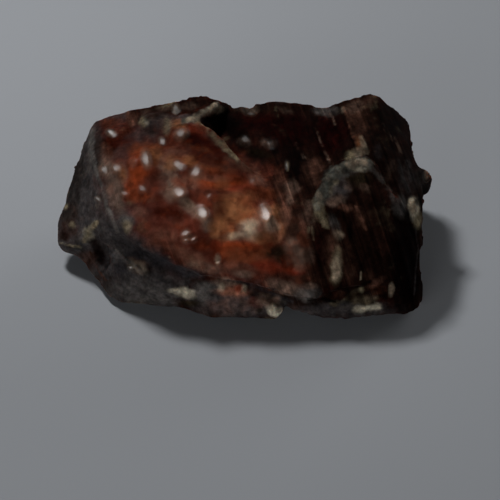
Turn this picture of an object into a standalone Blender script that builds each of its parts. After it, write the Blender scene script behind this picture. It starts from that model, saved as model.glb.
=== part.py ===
"""A rough zircon crystal: a broken, water-worn prism that lies on one of its long faces.

The stone is one solid. Convex blocks with flat crystal faces are joined, the polished front is worn
round, and grooves, ridges and lumps are pressed into the skin. Every length below is in millimetres
and MM turns it into metres. +X runs along the prism towards its blunt end, +Y to the back and +Z up.
The origin is on the ground, under the middle of the stone.
"""

from collections import namedtuple

import bmesh
import bpy
import numpy as np
from mathutils import Vector, noise

MM = 0.001

# Fineness of the skin while it is worked, and how many triangles the finished solid has.
GRAIN = 0.3
TRIANGLES = 7600

# The underside is worn flat by REST_WEAR, with what stays within LEVEL of the ground.
REST_WEAR = 0.25
LEVEL = 0.1

# The blocks that the crystal is broken into, each given by the corners of its flat faces.
BLOCKS = {
    "red_half": [
        (-16.9, 10.0, 12.2), (-16.1, 3.2, 12.2), (-15.2, -1.6, 11.4), (-14.1, -5.1, 9.8),
        (-12.3, -6.8, 9.2), (-9.9, -8.0, 8.6), (-5.7, -9.3, 7.0), (-0.3, -9.6, 6.2),
        (-12.4, 3.0, 13.8), (-9.9, -4.4, 12.4), (-9.9, -7.3, 10.3), (-4.6, 0.2, 14.6),
        (-4.6, -4.7, 12.7), (-4.6, -8.5, 9.9), (0.8, -4.7, 12.6), (0.8, -8.5, 9.7),
        (-12.8, 10.6, 13.5), (-9.8, 10.7, 14.2), (-7.0, 8.2, 14.7), (-4.2, 6.1, 15.1),
        (-1.4, 2.1, 15.0), (0.8, -0.3, 14.7),
        (-16.0, 9.4, 4.0), (-5.0, 8.6, 3.0), (-2.4, 5.0, 6.0), (1.4, -0.3, 3.0),
        (-14.5, -3.2, 3.0), (-9.9, -6.4, 2.0), (-0.3, -7.8, 1.5),
    ],
    "back_strip": [
        (-9.8, 10.6, 14.1), (-5.6, 10.6, 15.0), (-4.3, 10.6, 15.5), (-2.6, 10.2, 15.0),
        (-1.2, 10.3, 14.0), (-9.4, 8.2, 14.4), (-6.6, 7.0, 14.9), (-4.7, 6.7, 15.2),
        (-3.4, 8.3, 15.3), (-2.4, 9.6, 14.8), (-9.0, 9.6, 6.0), (-1.0, 9.8, 9.0),
        (-6.0, 6.6, 9.0), (-2.6, 8.8, 10.0),
    ],
    "middle": [
        (-2.5, 10.8, 13.4), (3.1, 10.8, 14.5), (5.7, 10.7, 14.5), (7.8, 10.5, 14.0),
        (11.0, 10.3, 13.6), (-7.6, 8.0, 12.4), (-5.2, 9.9, 12.9), (-1.5, 0.5, 12.4), (0.8, -4.7, 12.6),
        (0.8, -8.5, 9.7), (5.0, -4.5, 12.7), (5.0, -8.6, 9.4), (9.5, -4.6, 12.8),
        (9.5, -8.0, 9.4), (9.0, 0.0, 13.9), (2.4, -0.6, 13.5), (-0.3, -9.6, 6.2), (5.1, -9.9, 5.1),
        (8.3, -10.4, 4.4), (-2.5, 9.8, 3.0), (11.0, 9.6, 3.0), (-0.3, -7.8, 1.5),
        (5.0, -8.8, 1.8), (9.0, -8.6, 1.5),
    ],
    "shoulder": [
        (9.4, 10.4, 14.0), (11.3, 10.5, 14.6), (14.2, 10.2, 16.0), (15.1, 10.2, 15.8),
        (16.4, 10.5, 14.0), (18.8, 10.5, 12.0), (19.1, 6.1, 12.0), (19.4, 2.8, 11.5),
        (12.7, 2.6, 15.6), (15.4, 2.1, 14.6), (11.5, 0.5, 15.0), (13.1, 0.2, 15.0),
        (14.7, -1.1, 14.0), (18.0, -3.4, 10.6), (8.6, -0.6, 13.9), (10.0, 9.8, 4.0),
        (19.0, 9.6, 3.0), (19.2, 0.0, 3.0), (11.0, -2.0, 3.0),
    ],
    "tongue": [
        (8.6, -2.4, 13.8), (9.9, -0.9, 14.2), (11.5, -0.4, 14.5), (13.1, -0.8, 14.4),
        (14.6, -1.8, 13.7), (16.3, -3.6, 12.3), (8.2, -4.7, 12.9), (12.5, -4.7, 12.5),
        (9.3, -8.0, 9.6), (12.5, -8.0, 9.6), (15.7, -7.6, 9.1), (9.3, -10.0, 5.5),
        (15.8, -9.7, 5.2), (16.6, -4.3, 11.0), (16.6, -7.2, 8.5), (16.6, -9.3, 4.5),
        (9.0, -8.6, 1.5), (16.7, -9.0, 1.5), (16.6, -1.0, 4.0), (10.0, -1.0, 4.0),
    ],
    "blunt_end": [
        (15.0, 9.0, 12.0), (18.8, 10.4, 11.8), (19.3, 2.8, 11.5), (19.7, -0.4, 10.0),
        (19.6, -3.2, 8.0), (19.5, -5.0, 5.5), (19.5, -8.6, 1.2), (16.6, -4.3, 11.0),
        (16.6, -7.2, 8.5), (16.6, -9.3, 4.5), (16.7, -10.1, 2.2), (18.1, -9.6, 1.0),
        (16.3, -3.5, 12.2), (19.2, 9.4, 3.0), (15.0, 9.0, 1.0), (18.4, 7.4, 0.2),
        (18.8, -7.6, 0.0), (15.5, -8.6, 0.0),
    ],
    "left_end": [
        (-16.9, 10.0, 12.2), (-16.1, 3.2, 12.2), (-15.2, -1.6, 11.4), (-14.1, -5.1, 9.8),
        (-17.4, 8.6, 11.5), (-19.0, 6.0, 9.0), (-20.0, 2.9, 6.0), (-20.4, 2.4, 4.6),
        (-16.9, -0.6, 7.5), (-15.6, -4.4, 7.6), (-15.8, -3.4, 5.0), (-17.5, -2.0, 5.0),
        (-19.6, 4.0, 2.0), (-16.5, 8.6, 2.5), (-13.5, 9.0, 8.0), (-12.0, -4.0, 1.0),
        (-12.0, 6.0, 1.0), (-16.5, 3.0, 0.8), (-16.8, -0.6, 0.8),
    ],
    "left_nub": [
        (-20.4, 3.2, 5.4), (-21.1, 2.7, 4.0), (-21.1, 0.5, 3.0), (-20.9, -0.3, 2.5),
        (-18.1, -1.6, 1.6), (-17.7, -1.9, 4.4), (-17.3, -1.7, 6.0), (-16.6, -1.4, 7.4),
        (-19.2, 0.8, 6.4), (-19.6, 2.5, 1.4), (-16.0, 2.0, 1.0), (-16.0, -3.0, 2.0),
    ],
    "front_toe": [
        (-13.7, -5.6, 7.0), (-12.2, -6.8, 6.3), (-10.8, -7.6, 5.6), (-9.0, -8.3, 4.9),
        (-7.2, -8.7, 4.1), (-15.4, -4.8, 3.6), (-18.1, -1.5, 1.6), (-17.3, -3.2, 1.1),
        (-15.0, -6.6, 0.9), (-13.6, -8.0, 0.9), (-10.3, -8.3, 0.9), (-6.9, -8.4, 0.9),
        (-16.5, -2.0, 0.0), (-13.6, -6.4, 0.0), (-6.0, -7.2, 0.0), (-6.0, 0.0, 0.0),
        (-16.0, 1.0, 0.0), (-6.0, -6.0, 4.4), (-13.0, -4.0, 7.0),
    ],
    "ledge_a": [
        (-7.4, -8.0, 3.3), (-4.7, -8.6, 4.6), (-1.4, -9.1, 4.7), (1.8, -9.8, 4.0),
        (4.0, -10.1, 3.0), (4.7, -9.9, 2.3), (4.3, -10.1, 1.5), (3.4, -10.8, 1.2),
        (-3.4, -9.9, 1.0), (-6.8, -8.7, 1.0), (-6.0, -6.0, 0.0), (2.5, -7.5, 0.0),
        (-4.7, -6.0, 4.4), (1.8, -7.0, 4.0), (4.0, -7.5, 2.0),
    ],
    "ledge_b": [
        (4.9, -9.2, 2.0), (9.4, -10.3, 3.9), (11.0, -10.2, 4.3), (15.8, -10.0, 4.5),
        (17.0, -9.8, 3.3), (18.1, -9.6, 1.2), (11.3, -10.6, 1.2), (9.5, -10.4, 1.2),
        (5.4, -8.6, 1.0), (8.0, -7.0, 0.0), (17.0, -7.6, 0.0), (15.8, -7.0, 4.4), (9.4, -7.0, 3.8),
    ],
    "right_nub": [
        (19.2, 4.2, 10.6), (20.6, 2.9, 11.0), (21.1, 2.7, 10.0), (20.5, 1.3, 9.3),
        (19.4, 0.4, 9.4), (20.5, 2.4, 8.4), (18.8, 2.0, 7.6), (18.6, 2.4, 11.2),
    ],
    "underside": [
        (-15.5, 8.2, 3.2), (-14.0, 6.0, 0.0), (14.0, 6.6, 0.0), (17.5, 8.6, 2.4),
        (17.0, -7.0, 0.0), (8.0, -7.4, 0.0), (-6.0, -6.8, 0.0), (-15.5, -2.5, 0.0),
        (-16.0, 3.0, 1.0), (-15.0, 8.6, 8.0), (17.0, 9.0, 8.0), (16.0, -6.0, 6.0),
        (-12.0, -4.0, 6.0),
    ],
    "inner_mass": [
        (-13.5, 8.0, 10.0), (-13.5, -3.0, 8.0), (-14.0, 6.0, 1.0), (-13.0, -4.5, 1.0),
        (15.5, 9.0, 12.0), (15.5, -4.0, 9.0), (16.0, 7.0, 0.5), (15.5, -7.0, 0.5),
        (-5.0, 9.0, 12.0), (-5.0, -6.0, 8.0), (0.0, -7.0, 0.5), (0.0, -4.0, 11.5),
    ],
    "back_ledge": [
        (-13.5, 10.0, 9.8), (-4.0, 10.7, 9.4), (2.0, 10.8, 8.4), (2.4, 10.4, 4.0),
        (-6.0, 10.2, 2.6), (-13.5, 9.2, 4.4), (-12.0, 7.0, 2.0), (0.0, 7.0, 1.4),
        (-12.0, 7.0, 10.0), (2.0, 7.0, 9.0),
    ],
}

# A stroke moves the skin along its normal: out where height is positive, and in where it is
# negative. It acts within radius of its path. SCOOPS sink only the skin that faces up, straight
# down, so that the cliffs beside them stay sharp. A long stroke has STROKE_END of its height at
# its ends, and all of it from STROKE_RISE of its length onwards.
STROKE_END = 0.25
STROKE_RISE = 0.11
Stroke = namedtuple("Stroke", "name path radius height")

GROOVES = [
    Stroke("under_dome_left", [(-14.4, -5.0, 8.4), (-12.2, -6.6, 7.9), (-9.9, -7.6, 7.3),
                               (-7.4, -8.3, 6.3), (-4.5, -8.9, 5.6)], 1.9, -0.9),
    Stroke("under_dome_right", [(-4.5, -8.9, 5.6), (-0.3, -9.2, 5.2), (2.4, -9.5, 4.6),
                                (4.4, -9.7, 3.6)], 1.1, -0.8),
    Stroke("toe_hollow", [(-16.4, -3.0, 6.2), (-15.6, -3.9, 4.6)], 1.9, -1.1),
    Stroke("behind_arc", [(9.6, 0.6, 14.5), (11.2, 1.3, 15.1), (13.1, 1.1, 15.1),
                          (14.9, -0.2, 14.1), (16.6, -2.2, 12.6)], 1.0, -0.45),
    Stroke("over_ledge_b", [(5.1, -9.7, 3.6), (7.3, -10.0, 3.4), (9.8, -10.2, 4.2),
                            (11.5, -10.0, 5.0), (13.4, -9.8, 5.2), (15.6, -9.8, 4.9)], 0.9, -0.6),
    Stroke("slab_crack", [(8.1, 8.4, 14.1), (8.2, 7.2, 14.1), (8.8, 3.9, 14.0), (9.4, 0.9, 14.2)],
           0.8, -0.45),
    Stroke("dome_edge", [(4.4, -2.0, 14.0), (5.0, -4.4, 13.0), (5.4, -7.0, 10.4),
                         (6.2, -8.8, 7.4)], 2.4, -0.35),
]
SCOOPS = [
    Stroke("wedge_floor", [(-3.6, 8.4, 13.2), (-1.9, 6.4, 13.4), (0.1, 3.8, 13.5),
                           (1.9, 1.4, 13.5), (3.4, -0.6, 13.6)], 2.3, -1.0),
]
RIDGES = [
    Stroke("arc_suture", [(8.7, -5.6, 11.9), (8.1, -4.3, 13.0), (8.6, -2.6, 13.8),
                          (9.8, -1.0, 14.3), (11.4, -0.1, 14.7), (12.8, 0.1, 14.9),
                          (13.9, -0.5, 14.5), (15.0, -1.7, 13.6), (15.9, -3.3, 12.5),
                          (16.9, -3.9, 11.0), (18.1, -3.5, 9.9)], 1.0, 0.55),
    Stroke("diagonal_vein", [(-4.2, 6.1, 15.1), (-3.1, 4.6, 15.1), (-1.4, 2.2, 15.0),
                             (-0.3, 0.9, 14.8), (0.8, -0.2, 14.6), (2.0, -1.1, 14.0)], 0.9, 0.3),
    Stroke("strip_vein", [(-7.4, 7.2, 14.8), (-5.4, 7.3, 15.0), (-3.8, 8.4, 15.2),
                          (-2.4, 9.8, 14.8)], 0.9, 0.35),
    Stroke("slab_edge", [(11.4, 8.9, 14.9), (11.9, 5.1, 15.2), (12.5, 2.3, 15.4)], 1.1, 0.35),
    Stroke("nub_rim", [(-20.7, -0.4, 2.6), (-19.7, -0.9, 2.9), (-18.4, -1.6, 3.6),
                       (-17.9, -1.8, 4.7), (-17.3, -2.0, 6.2), (-16.0, -2.6, 8.4)], 0.9, 0.35),
    Stroke("tongue_border", [(8.7, -5.6, 11.9), (9.6, -6.6, 10.9), (10.2, -7.6, 9.6),
                             (9.9, -8.6, 8.0), (10.2, -9.7, 5.9)], 1.0, 0.25),
]
LUMPS = [
    Stroke("lump", [(-14.4, 6.6, 13.0)], 2.0, 0.42),
    Stroke("lump", [(-14.2, 1.0, 12.6)], 2.0, 0.42),
    Stroke("lump", [(-10.8, 1.0, 13.8)], 2.3, 0.7),
    Stroke("lump", [(-6.2, -0.6, 14.3)], 2.0, 0.49),
    Stroke("lump", [(-6.8, -3.6, 13.3)], 1.8, 0.56),
    Stroke("lump", [(-4.5, -6.3, 11.8)], 2.0, 0.63),
    Stroke("lump", [(-6.0, -7.4, 10.6)], 2.0, 0.49),
    Stroke("lump", [(2.2, -6.2, 11.8)], 2.3, 0.7),
    Stroke("lump", [(-10.0, 7.4, 14.2)], 2.2, 0.56),
    Stroke("lump", [(-6.8, 4.8, 14.7)], 2.2, 0.49),
    Stroke("lump", [(-0.2, -7.5, 10.4)], 2.4, 0.56),
    Stroke("hollow", [(-8.8, -1.6, 13.9)], 2.0, -0.49),
    Stroke("hollow", [(-12.4, -3.4, 12.0)], 2.2, -0.42),
    Stroke("hollow", [(-1.4, -2.6, 13.6), (-0.6, -5.2, 12.2)], 2.0, -0.49),
    Stroke("hollow", [(-10.2, 4.4, 14.2)], 2.0, -0.42),
    Stroke("tan_knob", [(3.4, -10.5, 2.2)], 1.2, 0.49),
    Stroke("tan_knob", [(18.5, -2.2, 10.4)], 1.2, 0.49),
]

# The worn dome: the middle and the reach of the part whose edges have been rubbed round, and the
# outer share of that reach over which the wear fades. The other edges are rubbed EDGE_PASSES times.
DOME_MIDDLE = (-4.5, -4.0, 12.0)
DOME_REACH = (14.5, 8.0, 8.0)
DOME_RIM = 0.33
WORN_PASSES = 160
EDGE_PASSES = 3

# Unevenness of the whole skin: (size of the waves, height of the waves).
WAVES = [(5.5, 0.28), (2.2, 0.11)]


def clear_scene():
    """Removes every object of the file that this runs in."""
    for thing in list(bpy.data.objects):
        bpy.data.objects.remove(thing, do_unlink=True)


def block(name, corners, helpers):
    """A convex piece of crystal whose flat faces join the given corners."""
    shape = bmesh.new()
    for corner in corners:
        shape.verts.new(Vector(corner) * MM)
    hull = bmesh.ops.convex_hull(shape, input=shape.verts, use_existing_faces=False)
    inside = [v for v in hull["geom_interior"] if isinstance(v, bmesh.types.BMVert)]
    bmesh.ops.delete(shape, geom=inside, context="VERTS")
    bmesh.ops.recalc_face_normals(shape, faces=shape.faces)
    mesh = bpy.data.meshes.new(name)
    shape.to_mesh(mesh)
    shape.free()
    made = bpy.data.objects.new(name, mesh)
    made.hide_render = True
    made.display_type = "WIRE"
    helpers.objects.link(made)
    return made


def settle(thing):
    """Gives the object the mesh that its modifiers make, and removes them."""
    graph = bpy.context.evaluated_depsgraph_get()
    mesh = bpy.data.meshes.new_from_object(thing.evaluated_get(graph))
    thing.modifiers.clear()
    thing.data = mesh


def join_blocks(stone, blocks):
    """One body with an even skin, from blocks that overlap."""
    for other in blocks:
        join = stone.modifiers.new(f"join_{other.name}", "BOOLEAN")
        join.operation = "UNION"
        join.object = other
    remesh = stone.modifiers.new("skin", "REMESH")
    remesh.mode = "VOXEL"
    remesh.voxel_size = GRAIN * MM
    settle(stone)


def points_of(mesh):
    """The mesh's vertices, in millimetres."""
    flat = np.empty(len(mesh.vertices) * 3, np.float32)
    mesh.vertices.foreach_get("co", flat)
    return flat.reshape(-1, 3).astype(float) / MM


def normals_of(mesh):
    """The direction that each vertex of the skin faces."""
    flat = np.empty(len(mesh.vertices) * 3, np.float32)
    mesh.vertex_normals.foreach_get("vector", flat)
    return flat.reshape(-1, 3).astype(float)


def set_points(mesh, points):
    """Puts the mesh's vertices at these places, in millimetres."""
    mesh.vertices.foreach_set("co", (points * MM).astype(np.float32).ravel())
    mesh.update()


def smooth(stone, passes, weights=None):
    """Rubs the skin down, everywhere or by a weight for each vertex."""
    rub = stone.modifiers.new("rub", "SMOOTH")
    rub.factor = 0.5
    rub.iterations = passes
    if weights is not None:
        group = stone.vertex_groups.new(name="worn")
        for index in np.flatnonzero(weights > 0):
            group.add([int(index)], float(weights[index]), "REPLACE")
        rub.vertex_group = group.name
    settle(stone)
    stone.vertex_groups.clear()


def nearest_on_path(points, path):
    """How far each point is from a line through the path's points, and how far along it that is."""
    path = np.array(path, float)
    nearest = np.linalg.norm(points - path[0], axis=1)
    along = np.zeros(len(points))
    steps = np.linalg.norm(np.diff(path, axis=0), axis=1)
    run = np.concatenate([[0.0], np.cumsum(steps)]) / max(steps.sum(), 1e-9)
    for start, end, begin, finish in zip(path[:-1], path[1:], run[:-1], run[1:]):
        line = end - start
        share = np.clip((points - start) @ line / (line @ line), 0, 1)
        gap = np.linalg.norm(points - (start + share[:, None] * line), axis=1)
        closer = gap < nearest
        nearest = np.where(closer, gap, nearest)
        along = np.where(closer, begin + (finish - begin) * share, along)
    return nearest, along


def press(mesh, strokes, straight_down=False):
    """Presses grooves and raises ridges and lumps along the strokes' paths, fading at their ends."""
    points, normals = points_of(mesh), normals_of(mesh)
    if straight_down:
        normals = np.clip(normals[:, 2:], 0, 1) ** 2 * np.array([0.0, 0.0, 1.0])
    for stroke in strokes:
        gap, along = nearest_on_path(points, stroke.path)
        share = np.clip(gap / stroke.radius, 0, 1)
        fade = 1.0
        if len(stroke.path) > 2:
            from_end = np.minimum(along, 1 - along)
            fade = np.clip(STROKE_END + (1 - STROKE_END) * from_end / STROKE_RISE, 0, 1)
        points += normals * ((1 - share**2) ** 2 * stroke.height * fade)[:, None]
    set_points(mesh, points)


def weather(mesh):
    """Makes the flat faces slightly uneven, as a natural skin is."""
    points, normals = points_of(mesh), normals_of(mesh)
    for size, height in WAVES:
        rise = np.array([noise.noise(Vector(p) / size) for p in points])
        points += normals * (rise * height)[:, None]
    set_points(mesh, points)


def rest_on_ground(mesh):
    """Puts the stone on the ground, under its middle, with the lowest skin worn down to it."""
    points = points_of(mesh)
    points[:, 2] -= points[:, 2].min() + REST_WEAR
    points[points[:, 2] < LEVEL, 2] = 0.0
    points[:, :2] -= (points[:, :2].min(axis=0) + points[:, :2].max(axis=0)) / 2
    set_points(mesh, points)


def thin_out(stone):
    """Leaves as few triangles as the shape needs."""
    faces = len(stone.data.polygons) * 2
    fewer = stone.modifiers.new("fewer", "DECIMATE")
    fewer.ratio = min(1.0, TRIANGLES / faces)
    fewer.use_collapse_triangulate = True
    settle(stone)


def square_up(mesh):
    """Makes the face it rests on exactly level again, and centres the stone on the origin."""
    points = points_of(mesh)
    points[points[:, 2] < LEVEL, 2] = 0.0
    points[:, :2] -= (points[:, :2].min(axis=0) + points[:, :2].max(axis=0)) / 2
    set_points(mesh, points)


def dome_share(points):
    """How far inside the worn dome each point is, from 0 at its rim to 1."""
    reach = np.linalg.norm((points - np.array(DOME_MIDDLE)) / np.array(DOME_REACH), axis=1)
    return np.clip((1 - reach) / DOME_RIM, 0, 1)


def zircon_material():
    """Dark red-brown, glassy."""
    material = bpy.data.materials.new("zircon")
    material.use_nodes = True
    shader = material.node_tree.nodes["Principled BSDF"]
    shader.inputs["Base Color"].default_value = (0.10, 0.026, 0.014, 1.0)
    shader.inputs["Roughness"].default_value = 0.3
    shader.inputs["Metallic"].default_value = 0.0
    return material


def main():
    clear_scene()
    crystal = bpy.data.collections.new("zircon_crystal")
    helpers = bpy.data.collections.new("blocks")
    bpy.context.scene.collection.children.link(crystal)
    bpy.context.scene.collection.children.link(helpers)
    blocks = [block(name, corners, helpers) for name, corners in BLOCKS.items()]

    stone = bpy.data.objects.new("zircon", blocks[0].data.copy())
    crystal.objects.link(stone)
    join_blocks(stone, blocks[1:])
    smooth(stone, EDGE_PASSES)
    smooth(stone, WORN_PASSES, dome_share(points_of(stone.data)))
    press(stone.data, SCOOPS, straight_down=True)
    press(stone.data, GROOVES + RIDGES + LUMPS)
    weather(stone.data)
    rest_on_ground(stone.data)
    thin_out(stone)
    square_up(stone.data)
    stone.data.shade_smooth()
    stone.data.materials.clear()
    stone.data.materials.append(zircon_material())


main()
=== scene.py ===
"""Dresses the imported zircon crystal: a broken, worn prism with a glowing red dome.

The solid's skin is copied at a finer grain, its lumps, veins and striations are raised, and its
colours are painted on as attributes that one procedural finish reads. Lengths are in millimetres
until MM turns them into metres. Spots on the front are given where the front camera sees them, in
its frame of 500 by 500, and each is carried onto the skin along the camera's line of sight.
"""

import logging
import math
from dataclasses import dataclass
from enum import Enum

import bpy
import numpy as np
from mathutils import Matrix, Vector, noise
from mathutils.bvhtree import BVHTree


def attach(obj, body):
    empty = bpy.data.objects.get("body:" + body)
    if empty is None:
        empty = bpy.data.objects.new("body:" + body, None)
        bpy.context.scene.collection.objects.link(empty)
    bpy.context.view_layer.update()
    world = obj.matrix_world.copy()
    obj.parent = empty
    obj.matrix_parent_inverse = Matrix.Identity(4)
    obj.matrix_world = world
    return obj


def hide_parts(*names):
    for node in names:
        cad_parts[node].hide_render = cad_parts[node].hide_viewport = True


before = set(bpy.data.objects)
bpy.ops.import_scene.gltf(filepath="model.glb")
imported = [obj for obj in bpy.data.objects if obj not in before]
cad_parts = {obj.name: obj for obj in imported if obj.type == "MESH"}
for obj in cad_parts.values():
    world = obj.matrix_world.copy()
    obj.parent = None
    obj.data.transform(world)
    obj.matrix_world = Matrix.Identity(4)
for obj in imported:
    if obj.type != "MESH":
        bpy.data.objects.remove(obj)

MM = 0.001
Spot = tuple[float, float]
Span = tuple[float, float]
Place = tuple[float, float, float]
Colour = tuple[float, float, float]

logging.basicConfig(level=logging.INFO, format="%(message)s")
log = logging.getLogger("zircon")


class Tint(Enum):
    """The colours of the stone, as linear red, green and blue."""

    PITCH = (0.003, 0.001, 0.001)
    UMBER = (0.008, 0.003, 0.002)
    COCOA = (0.015, 0.006, 0.004)
    CHESTNUT = (0.060, 0.026, 0.017)
    GARNET = (0.010, 0.001, 0.001)
    BLOOD = (0.042, 0.005, 0.002)
    MAROON = (0.110, 0.026, 0.015)
    RED = (0.190, 0.028, 0.012)
    EMBER = (0.300, 0.052, 0.015)
    RUST = (0.190, 0.052, 0.022)
    AMBER = (0.320, 0.125, 0.052)
    ROSE = (0.230, 0.100, 0.065)
    BRICK = (0.360, 0.140, 0.085)
    CREAM = (0.520, 0.400, 0.280)
    IVORY = (0.680, 0.600, 0.450)
    TAN = (0.300, 0.243, 0.150)
    OLIVE = (0.022, 0.015, 0.008)
    SOOT = (0.024, 0.019, 0.017)
    CLOUD = (0.210, 0.130, 0.095)
    LICHEN = (0.105, 0.105, 0.088)
    ASH = (0.110, 0.098, 0.090)
    SLATE = (0.058, 0.050, 0.049)
    INK = (0.030, 0.027, 0.029)


class Zone(Enum):
    """The kinds of surface that the finish tells apart."""

    GLOW = "glow"
    STRIAE = "striae"
    CRUST = "crust"
    SKIN = "skin"


Shares = dict[Zone, np.ndarray]


class Layer(Enum):
    """The other attributes that the skin carries for its finish."""

    TINT = "tint"
    POLISH = "polish"


@dataclass(frozen=True)
class Brush:
    """How the edge of a painted mark looks.

    The edge wanders by a share of the mark's half width, and by most at the most. fray is the
    share of finer wandering, mottle is how uneven the cover is, and soft is where the edge starts
    and ends, in shares of the half width. A calmed brush is steadier on the glowing dome.
    """

    wander: float
    most: float
    fray: float
    mottle: float
    soft: Span
    calmed: bool


PATCH_BRUSH = Brush(0.42, 5.0, 0.4, 0.25, (0.4, 1.3), True)
TRACE_BRUSH = Brush(0.4, 2.4, 1.0, 0.5, (0.45, 1.2), False)


@dataclass(frozen=True)
class Patch:
    """A soft-edged spot of colour on the front.

    reach is its half width and half height in the front view, and lean turns it, in degrees,
    against the clock.
    """

    name: str
    seen: Spot
    reach: Spot
    tint: Tint
    cover: float
    lean: float = 0.0
    zone: Zone | None = None

    def brush(self) -> Brush:
        """The brush that paints it."""
        return PATCH_BRUSH

    def half_width(self) -> float:
        """How wide it is at its narrowest, from the middle out."""
        return min(self.reach)

    def gap(self, surface: "Surface", spots: np.ndarray) -> np.ndarray:
        """How far from its middle each spot is, in shares of its reach."""
        return surface.spread(self.seen, self.reach, self.lean, spots)


@dataclass(frozen=True)
class Trace:
    """A line on the front, such as a vein, a crack or a ridge.

    width is its half width in the front view, and height is how far it stands out, in millimetres.
    """

    name: str
    path: tuple[Spot, ...]
    width: float
    tint: Tint
    cover: float
    height: float = 0.0
    zone: Zone | None = None

    def brush(self) -> Brush:
        """The brush that paints it."""
        return TRACE_BRUSH

    def half_width(self) -> float:
        """How wide it is, from the middle out."""
        return self.width

    def gap(self, surface: "Surface", spots: np.ndarray) -> np.ndarray:
        """How far from its middle each spot is, in shares of its half width."""
        return surface.along_path(self.path, self.width, spots)


@dataclass(frozen=True)
class Bead:
    """A small worn lump on the front.

    reach is its half width and half height in the front view, and lean turns it, in degrees,
    against the clock. height is how far it stood out before it was worn, in millimetres. shine is
    how glassy its crown is, and a shining crown is turned to the key light and the front.
    """

    name: str
    seen: Spot
    reach: Spot
    height: float
    shine: float = 0.0
    lean: float = 0.0


# The large patches, which say what kind of surface each part of the front is. In this table and the
# next ones a later patch lies over the earlier ones.
ZONE_PATCHES = (
    Patch("dome glow", (195, 185), (105, 62), Tint.MAROON, 1.0, -12, Zone.GLOW),
    Patch("dome foot", (225, 245), (85, 34), Tint.MAROON, 1.0, -14, Zone.GLOW),
    Patch("dome flank", (296, 245), (20, 46), Tint.CHESTNUT, 1.0, 8, Zone.GLOW),
    Patch("striped body", (345, 165), (95, 85), Tint.COCOA, 1.0, 0, Zone.STRIAE),
    Patch("striped tongue", (365, 250), (62, 60), Tint.COCOA, 1.0, 0, Zone.STRIAE),
    Patch("left facet", (84, 172), (17, 50), Tint.SLATE, 1.0, -14, Zone.SKIN),
    Patch("toe facet", (140, 290), (55, 20), Tint.SLATE, 1.0, 0, Zone.SKIN),
    Patch("ledge skin", (235, 303), (52, 17), Tint.SLATE, 1.0, -4, Zone.SKIN),
    Patch("ledge skin right", (345, 311), (58, 9), Tint.SLATE, 0.9, 0, Zone.SKIN),
    Patch("blunt end", (407, 262), (18, 64), Tint.PITCH, 1.0, 0, Zone.STRIAE),
)

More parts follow.
